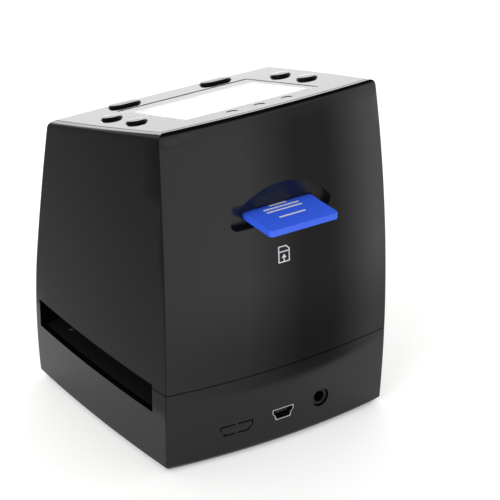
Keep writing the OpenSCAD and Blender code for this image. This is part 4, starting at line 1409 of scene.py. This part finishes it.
@dataclass
class Repeater:
    """Repeats one item at given places with a geometry tree, baked to one mesh."""

    name: str
    item: Mesh
    finish: Finish
    places: list[tuple[Vector, Vector]]

    def tree(self) -> NodeTree:
        """Builds the tree: an instance on every point, turned by the point's own attribute."""
        kinds = {"Item": "Object", "Item Material": "Material"}
        tree = geometry_tree(self.name + "_rule", kinds)
        given = add_node(tree, "NodeGroupInput").outputs
        turn = add_node(
            tree, "GeometryNodeInputNamedAttribute", {"data_type": "FLOAT_VECTOR", "Name": "turn"}
        )
        item = add_node(tree, "GeometryNodeObjectInfo", links={"Object": given["Item"]})
        links = {
            "Points": given["Geometry"],
            "Instance": item.outputs["Geometry"],
            "Rotation": turn.outputs["Attribute"],
        }
        copies = add_node(tree, "GeometryNodeInstanceOnPoints", links=links)
        end_tree(tree, copies.outputs[0], given["Item Material"])
        return tree

    def build(self) -> Object:
        """Places the copies and returns them as one finished object."""
        points = bpy.data.meshes.new(self.name)
        points.from_pydata([at for at, _ in self.places], [], [])
        turns = points.attributes.new("turn", "FLOAT_VECTOR", "POINT")
        for entry, (_, turn) in zip(turns.data, self.places):
            entry.vector = turn
        piece = working_object(self.name, points)
        item = working_object(self.name + "_item", self.item)
        values = {"Item": item, "Item Material": self.finish.make()}
        mesh = baked_rule(piece, self.tree(), values)
        bpy.data.objects.remove(item)
        return finished_object(self.name, mesh, self.finish)


@dataclass
class Screw:
    """A cross-head screw, head downwards from the origin along Z. Sizes in mm."""

    length: float
    head_r: float = 1.75
    head_t: float = 1.15
    shank_r: float = 1.0
    pitch: float = 0.5
    cross_w: float = 0.55
    cross_l: float = 2.1
    cross_d: float = 0.6
    crown_r: float = 1.1
    crown: Pair = (0.02, 0.1)
    rim_in: float = 0.25
    rim_h: float = 0.4
    ease: float = 0.1
    neck_d: float = 0.15
    neck_l: float = 0.2
    thread_d: float = 0.18
    point_l: float = 1.2
    point_r: float = 0.1
    tip_r: float = 0.03
    steps: int = 32

    def profile(self) -> list[Pair]:
        """Lists the radius and depth along the screw: the head, the thread and the point."""
        root, first = self.shank_r - self.thread_d, self.head_t + self.neck_l
        turns = int((self.length - first - self.point_l) / self.pitch)
        rows = [(self.tip_r, 0.0), (self.crown_r, self.crown[0])]
        rows += [(self.head_r - self.rim_in, self.crown[1]), (self.head_r, self.rim_h)]
        rows += [(self.head_r, self.head_t - self.ease), (self.head_r - self.ease, self.head_t)]
        rows.append((self.shank_r - self.neck_d, self.head_t))
        for low in (first + k * self.pitch for k in range(turns)):
            rows += [(root, low), (self.shank_r, low + self.pitch / 2)]
        return rows + [(root, self.length - self.point_l), (self.point_r, self.length)]

    def mesh(self) -> Mesh:
        """Turns the head and the threaded shank, and cuts the cross."""
        turns = [math.tau * k / self.steps for k in range(self.steps)]
        rings = [
            [Vector((r * math.cos(a), r * math.sin(a), z)) for a in turns]
            for r, z in self.profile()
        ]
        piece = working_object("screw_blank", mesh_from_rings("screw_blank", rings))
        cutters = []
        for w, l in ((self.cross_w, self.cross_l), (self.cross_l, self.cross_w)):
            block = bpy.data.meshes.new("cross")
            with edited(block) as bm:
                bmesh.ops.create_cube(bm, size=MM)
                bmesh.ops.scale(bm, vec=Vector((w, l, 2 * self.cross_d)), verts=bm.verts)
            cutters.append(working_object("cross", block))
            cut_with(piece, cutters[-1], "DIFFERENCE")
        mesh = baked_mesh(piece, "screw_item")
        for cutter in cutters:
            bpy.data.objects.remove(cutter)
        return mesh


@dataclass
class Fasteners:
    """The screws, each at the place, turn and length that its own solid gives."""

    form: BodyForm

    def build(self) -> None:
        """Builds the screws of each node, one piece for every length."""
        for node in ("base_screws", "guide_screws", "board_screws"):
            lots: dict[float, list[tuple[Vector, Vector]]] = {}
            for points in islands(node):
                length, place = self.placed(points)
                lots.setdefault(length, []).append(place)
            for index, (length, places) in enumerate(sorted(lots.items())):
                name = f"cross_{node}_{index + 1}"
                lot = Repeater(name, Screw(length).mesh(), ZINC_STEEL, places)
                dressed(lot.build(), STATIC_BODY, node)

    def placed(self, points: list[Vector]) -> tuple[float, tuple[Vector, Vector]]:
        """Reads one screw's length, head and turn.

        Args:
            points: The corners of the screw's solid.

        Returns:
            The length in mm, and the head's middle with the turn of the screw.
        """
        ways = ((Vector((0, 0, 1)), 0.0), (self.form.outward(), math.radians(self.form.top_tilt)))

        def in_ends(way: tuple[Vector, float]) -> int:
            """Counts the corners in the two end planes across a direction."""
            levels = [p.dot(way[0]) for p in points]
            low, high = min(levels), max(levels)
            return sum(min(level - low, high - level) < IN_PLANE * MM for level in levels)

        out, turn = max(ways, key=in_ends)
        levels = [p.dot(out) for p in points]
        middle = sum(points, Vector()) / len(points)
        along = [(p - middle).dot(out) for p in points]
        wide = [(p - middle - out * k).length for p, k in zip(points, along)]
        head = max(zip(wide, along))[1]
        up = head > (max(along) + min(along)) / 2
        end = max(along) if up else min(along)
        turned = Vector((turn + (math.pi if up else 0.0), 0.0, 0.0))
        return round((max(levels) - min(levels)) / MM, 2), (middle + out * end, turned)


@dataclass
class Chips:
    """The chips with their legs and the round capacitors of the main board. Sizes in mm.

    A leg leaves the chip level, and its knee gives where it turns down and where it lands.
    """

    leg_pitch: float = 1.0
    leg_w: float = 0.4
    leg_out: float = 0.75
    leg_t: float = 0.14
    leg_h: float = 0.55
    leg_in: float = 0.1
    knee: Pair = (0.25, 0.42)
    ends: float = 0.8
    tall: float = 2.0
    ease: float = 0.15

    def leg(self) -> Mesh:
        """Makes one gull-wing leg that leaves a chip along X."""
        t, (upper, lower) = self.leg_t, self.knee
        line = [(-self.leg_in, self.leg_h), (upper, self.leg_h), (lower, t / 2)]
        line.append((self.leg_out, t / 2))
        rings = []
        for k, (x, z) in enumerate(line):
            lean = 0.0 if k in (0, len(line) - 1) else t / 2
            rings.append(
                [
                    Vector((x + end * lean / 2, side * self.leg_w / 2, z + end * t / 2))
                    for side, end in ((-1, -1), (1, -1), (1, 1), (-1, 1))
                ]
            )
        return mesh_from_rings("leg", rings)

    def build(self) -> None:
        """Builds the chips, their legs and the capacitors."""
        legs: list[tuple[Vector, Vector]] = []
        solids = islands("board_chips")
        floor = min(p.z for points in solids for p in points)
        for points in solids:
            low, high = (
                Vector([pick(p[i] for p in points) for i in range(3)]) / MM for pick in (min, max)
            )
            if high.z - low.z > self.tall:
                continue
            count = int((high.y - low.y - self.ends) / self.leg_pitch)
            for x, turn in ((high.x, 0.0), (low.x, math.pi)):
                for k in range(count + 1):
                    y = (low.y + high.y) / 2 + (k - count / 2) * self.leg_pitch
                    legs.append((Vector((x * MM, y * MM, floor)), Vector((0, 0, turn))))
        row = Repeater("chip_legs", self.leg(), TINNED_STEEL, legs)
        dressed(row.build(), STATIC_BODY, like="card_socket")
        mesh = soften(merged_copy("board_chips"), self.ease)
        made = finished_object("eased_board_chips", mesh, CHIP_RESIN)
        made.data.materials.append(CAN_ALUMINIUM.make())
        chip_top = floor + self.tall * MM
        with edited(made.data) as bm:
            for vert in [v for v in bm.verts if v.co.z > chip_top]:
                waiting = list(vert.link_faces)
                while waiting:
                    face = waiting.pop()
                    if not face.material_index:
                        face.material_index = 1
                        waiting += [f for edge in face.edges for f in edge.link_faces]
        dressed(made, STATIC_BODY, "board_chips")


@dataclass
class SocketContacts:
    """The five gold contacts under the data socket's tongue. Sizes in mm."""

    count: int = 5
    pitch: float = 0.75
    half_w: float = 0.16
    thick: float = 0.04
    inner_end: float = 0.4
    outer_ends: Pair = (0.5, 0.25)

    def build(self) -> None:
        """Builds the row of contacts."""
        low, high = (Vector(corner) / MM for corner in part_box("usb_tongue"))
        w, t = self.half_w, self.thick
        strip = [
            [Vector((x, y, z)) for x, z in ((-w, -t), (w, -t), (w, 0.0), (-w, 0.0))]
            for y in (low.y + self.inner_end, *(high.y - end for end in self.outer_ends))
        ]
        middle = self.count // 2
        places = [
            (Vector((self.pitch * (k - middle), 0.0, low.z)) * MM, Vector((0.0, 0.0, 0.0)))
            for k in range(self.count)
        ]
        row = Repeater("socket_contacts", mesh_from_rings("contact", strip), GOLD, places)
        dressed(row.build(), STATIC_BODY, like="card_contacts")


# ---------------------------------------------------------------- studio


def sheet(name: str, corners: Iterable[Sequence[float]], material: Material) -> Object:
    """Lays a four-sided sheet of the studio, whose corners are in metres."""
    mesh = bpy.data.meshes.new(name)
    mesh.from_pydata(list(corners), [], [(0, 1, 2, 3)])
    mesh.materials.append(material)
    return working_object(name, mesh)


@dataclass(frozen=True)
class MirrorCard:
    """An upright soft-edged card that only mirrored rays see. Its glow lights nothing and only
    paints reflections, light and dark, on the glossy faces. Sizes in mm.

    A tone is a place across or up the card, from 0 to 1, with its level and how solid it is.
    """

    name: str
    start: Pair
    end: Pair
    height: float
    glow: float
    across: tuple[Triple, ...]
    upwards: tuple[Triple, ...]

    def ramp(self, tree: NodeTree, place: NodeSocket, tones: tuple[Triple, ...]) -> Node:
        """Adds a ramp of levels and solidity along one direction of the card."""
        made = add_node(tree, "ShaderNodeValToRGB", links={"Fac": place})
        stops = made.color_ramp.elements
        while len(stops) < len(tones):
            stops.new(0.5)
        for stop, (at, level, solid) in zip(stops, tones):
            stop.position = at
            stop.color = (level, level, level, solid)
        return made

    def build(self) -> None:
        """Stands the card in the studio."""
        # The card's material is a glow seen only in reflections, not lit paper: it paints light and
        # dark reflections on the glossy faces.
        material = empty_material(self.name + "_paper")
        tree = material.node_tree
        uv = add_node(tree, "ShaderNodeTexCoord").outputs["UV"]
        way = add_node(tree, "ShaderNodeSeparateXYZ", links={"Vector": uv}).outputs
        wide = self.ramp(tree, way["X"], self.across).outputs
        high = self.ramp(tree, way["Y"], self.upwards).outputs
        times = partial(calc, tree, "MULTIPLY")
        strength = times(times(wide["Color"], high["Color"]), self.glow)
        glow = add_node(tree, "ShaderNodeEmission", links={"Strength": strength})
        clear = add_node(tree, "ShaderNodeBsdfTransparent")
        solid = times(wide["Alpha"], high["Alpha"])
        surface = mixed(tree, solid, clear.outputs[0], glow.outputs[0])
        add_node(tree, "ShaderNodeOutputMaterial", links={"Surface": surface})
        (x0, y0), (x1, y1), top = self.start, self.end, self.height
        corners = ((x0, y0, 0), (x1, y1, 0), (x1, y1, top), (x0, y0, top))
        made = sheet(self.name, (Vector(c) * MM for c in corners), material)
        places = ((0, 0), (1, 0), (1, 1), (0, 1))
        for loop, place in zip(made.data.uv_layers.new(name="card").data, places):
            loop.uv = place
        for ray in ("camera", "diffuse", "transmission", "shadow", "volume_scatter"):
            setattr(made, "visible_" + ray, False)


# What the glossy faces mirror besides the floor: cards whose glow only mirrored rays see and which
# light nothing. They paint a bright reflection of a screen on the sloped top, and painted dark
# reflections of a room that falls dark beside the body.
MIRROR_CARDS = (
    MirrorCard(
        "card_front",
        (60.0, -370.0),
        (-350.0, -157.0),
        400.0,
        3.5,
        ((0.0, 1.0, 0.0), (0.04, 1.0, 1.0), (0.96, 1.0, 1.0), (1.0, 1.0, 0.0)),
        ((0.0, 0.5, 1.0), (0.29, 0.5, 1.0), (0.42, 1.0, 1.0), (0.75, 1.0, 1.0), (1.0, 1.0, 0.0)),
    ),
    MirrorCard(
        "card_behind",
        (-118.0, 56.0),
        (45.0, 80.0),
        120.0,
        1.4,
        (
            (0.0, 0.95, 0.0), (0.05, 0.95, 1.0), (0.3, 0.95, 1.0), (0.4, 0.45, 1.0),
            (0.45, 0.25, 1.0), (0.55, 0.25, 1.0), (0.7, 0.7, 1.0), (1.0, 0.85, 0.0),
        ),
        ((0.0, 0.5, 1.0), (0.15, 0.6, 1.0), (0.35, 1.0, 1.0), (0.8, 1.0, 1.0), (1.0, 1.0, 0.0)),
    ),
    MirrorCard(
        "card_corner",
        (96.4, 115.2),
        (132.8, 61.4),
        110.0,
        1.0,
        ((0.0, 0.01, 0.0), (0.2, 0.01, 1.0), (0.8, 0.01, 1.0), (1.0, 0.01, 0.0)),
        ((0.0, 1.0, 0.3), (0.15, 1.0, 1.0), (0.9, 1.0, 1.0), (1.0, 1.0, 0.0)),
    ),
    MirrorCard(
        "card_side",
        (62.0, -150.0),
        (62.0, 62.0),
        115.0,
        1.24,
        ((0.0, 0.95, 0.0), (0.1, 0.95, 1.0), (0.39, 0.95, 1.0), (0.5, 1.0, 1.0), (1.0, 1.0, 1.0)),
        ((0.0, 0.3, 1.0), (0.35, 0.25, 1.0), (1.0, 0.15, 1.0)),
    ),
)


@dataclass
class Studio:
    """The plain studio: pale floor, soft light, and the camera at the photograph's angle."""

    floor_colour: str = "#e8e8e6"
    floor_half: float = 3.0
    floor_mirrored: float = 0.08
    floor_seen: float = 0.36
    world_level: float = 0.74
    sky_mirrored: Pair = (1.0, 0.03)
    sky_heights: Pair = (0.05, 0.5)
    azimuth: float = 33.644
    elevation: float = 26.954
    roll: float = 0.442
    lens: float = 182.7
    sensor_w: float = 36.0
    eye_mm: Triple = (379.2, 591.5, 406.4)

    def world(self) -> None:
        """Sets the world: soft light on the object, and white where it is seen."""
        world = bpy.data.worlds.new("studio")
        bpy.context.scene.world = world
        world.use_nodes = True
        tree = world.node_tree
        tree.nodes.clear()
        path = add_node(tree, "ShaderNodeLightPath").outputs
        way = add_node(tree, "ShaderNodeTexCoord").outputs["Generated"]
        up = add_node(tree, "ShaderNodeSeparateXYZ", links={"Vector": way}).outputs["Z"]
        fall = ranged(tree, up, *self.sky_mirrored, *self.sky_heights)
        kind = "ShaderNodeBackground"
        soft = add_node(tree, kind, {"Color": WHITE, "Strength": self.world_level}).outputs[0]
        mirrored = add_node(tree, kind, {"Color": WHITE}, {"Strength": fall}).outputs[0]
        seen = add_node(tree, kind, {"Color": WHITE, "Strength": 1.0}).outputs[0]
        glossy = mixed(tree, path["Is Glossy Ray"], soft, mirrored)
        either = calc(tree, "MAXIMUM", path["Is Camera Ray"], path["Is Transmission Ray"])
        surface = mixed(tree, either, glossy, seen)
        add_node(tree, "ShaderNodeOutputWorld", links={"Surface": surface})

    def floor(self) -> None:
        """Lays the pale floor, white where it is seen, with the object's shadow kept."""
        material = empty_material("matt_paper_floor")
        tree = material.node_tree
        path = add_node(tree, "ShaderNodeLightPath").outputs
        lift = ranged(tree, path["Is Camera Ray"], self.floor_mirrored, self.floor_seen)
        told = calc(tree, "MAXIMUM", path["Is Camera Ray"], path["Is Glossy Ray"])
        settings = {
            "Base Color": linear(self.floor_colour),
            "Roughness": 0.9,
            "Specular IOR Level": 0.1,
            "Emission Color": WHITE,
        }
        links = {"Emission Strength": calc(tree, "MULTIPLY", lift, told)}
        paper = add_node(tree, "ShaderNodeBsdfPrincipled", settings, links)
        add_node(tree, "ShaderNodeOutputMaterial", links={"Surface": paper.outputs[0]})
        half = self.floor_half
        corners = ((-half, -half, 0), (half, -half, 0), (half, half, 0), (-half, half, 0))
        sheet("floor", corners, material)

    def lamp(self, name: str, at: Triple, size: Pair, level: float) -> None:
        """Hangs one upright soft box that faces the object.

        Args:
            name: The lamp's name.
            at: Its place in metres.
            size: Its width and height in metres.
            level: How bright its face is, where 1 is white.
        """
        data = bpy.data.lights.new(name, "AREA")
        data.shape = "RECTANGLE"
        data.size, data.size_y = size
        data.energy = level * math.pi * size[0] * size[1]
        made = working_object(name, data)
        made.location = at
        aim = Vector((-at[0], -at[1], 0))
        made.rotation_euler = aim.to_track_quat("-Z", "Y").to_euler()
        made.visible_camera = False
        made.visible_glossy = False

    def camera(self) -> None:
        """Sets the camera at the photograph's angle."""
        az, el, roll = (math.radians(a) for a in (self.azimuth, self.elevation, self.roll))
        back = Vector((math.sin(az) * math.cos(el), math.cos(az) * math.cos(el), math.sin(el)))
        right = Vector((-math.cos(az), math.sin(az), 0))
        up = back.cross(right)
        across = right * math.cos(roll) + up * math.sin(roll)
        upward = up * math.cos(roll) - right * math.sin(roll)
        data = bpy.data.cameras.new("camera")
        data.lens = self.lens
        data.sensor_width = self.sensor_w
        data.clip_start, data.clip_end = 0.01, 20.0
        made = working_object("camera", data)
        turn = Matrix((across, upward, back)).transposed().to_4x4()
        made.matrix_world = Matrix.Translation(Vector(self.eye_mm) * MM) @ turn
        bpy.context.scene.camera = made

    def build(self) -> None:
        """Builds the whole studio."""
        bpy.context.scene.view_settings.view_transform = "Standard"
        self.camera()
        self.world()
        self.floor()
        self.lamp("softbox_behind", at=(-0.542, -0.957, 0.46), size=(1.6, 0.9), level=1.9)
        self.lamp("softbox_beside", at=(0.95, 0.4, 0.75), size=(0.9, 0.9), level=2.6)
        for card in MIRROR_CARDS:
            card.build()
        log.info("studio is set")


def main() -> None:
    """Builds every sub-assembly in turn and dresses the whole scanner."""
    logging.basicConfig(level=logging.INFO, format="%(name)s: %(message)s")
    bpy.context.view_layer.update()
    form = BodyForm()
    Housings(form).build()
    Panel(form).build()
    Display(form).build()
    Card().build()
    SlotSign(form).build()
    build_eased_nodes(form)
    Fasteners(form).build()
    Chips().build()
    SocketContacts().build()
    Studio().build()


if __name__ == "__main__":
    main()
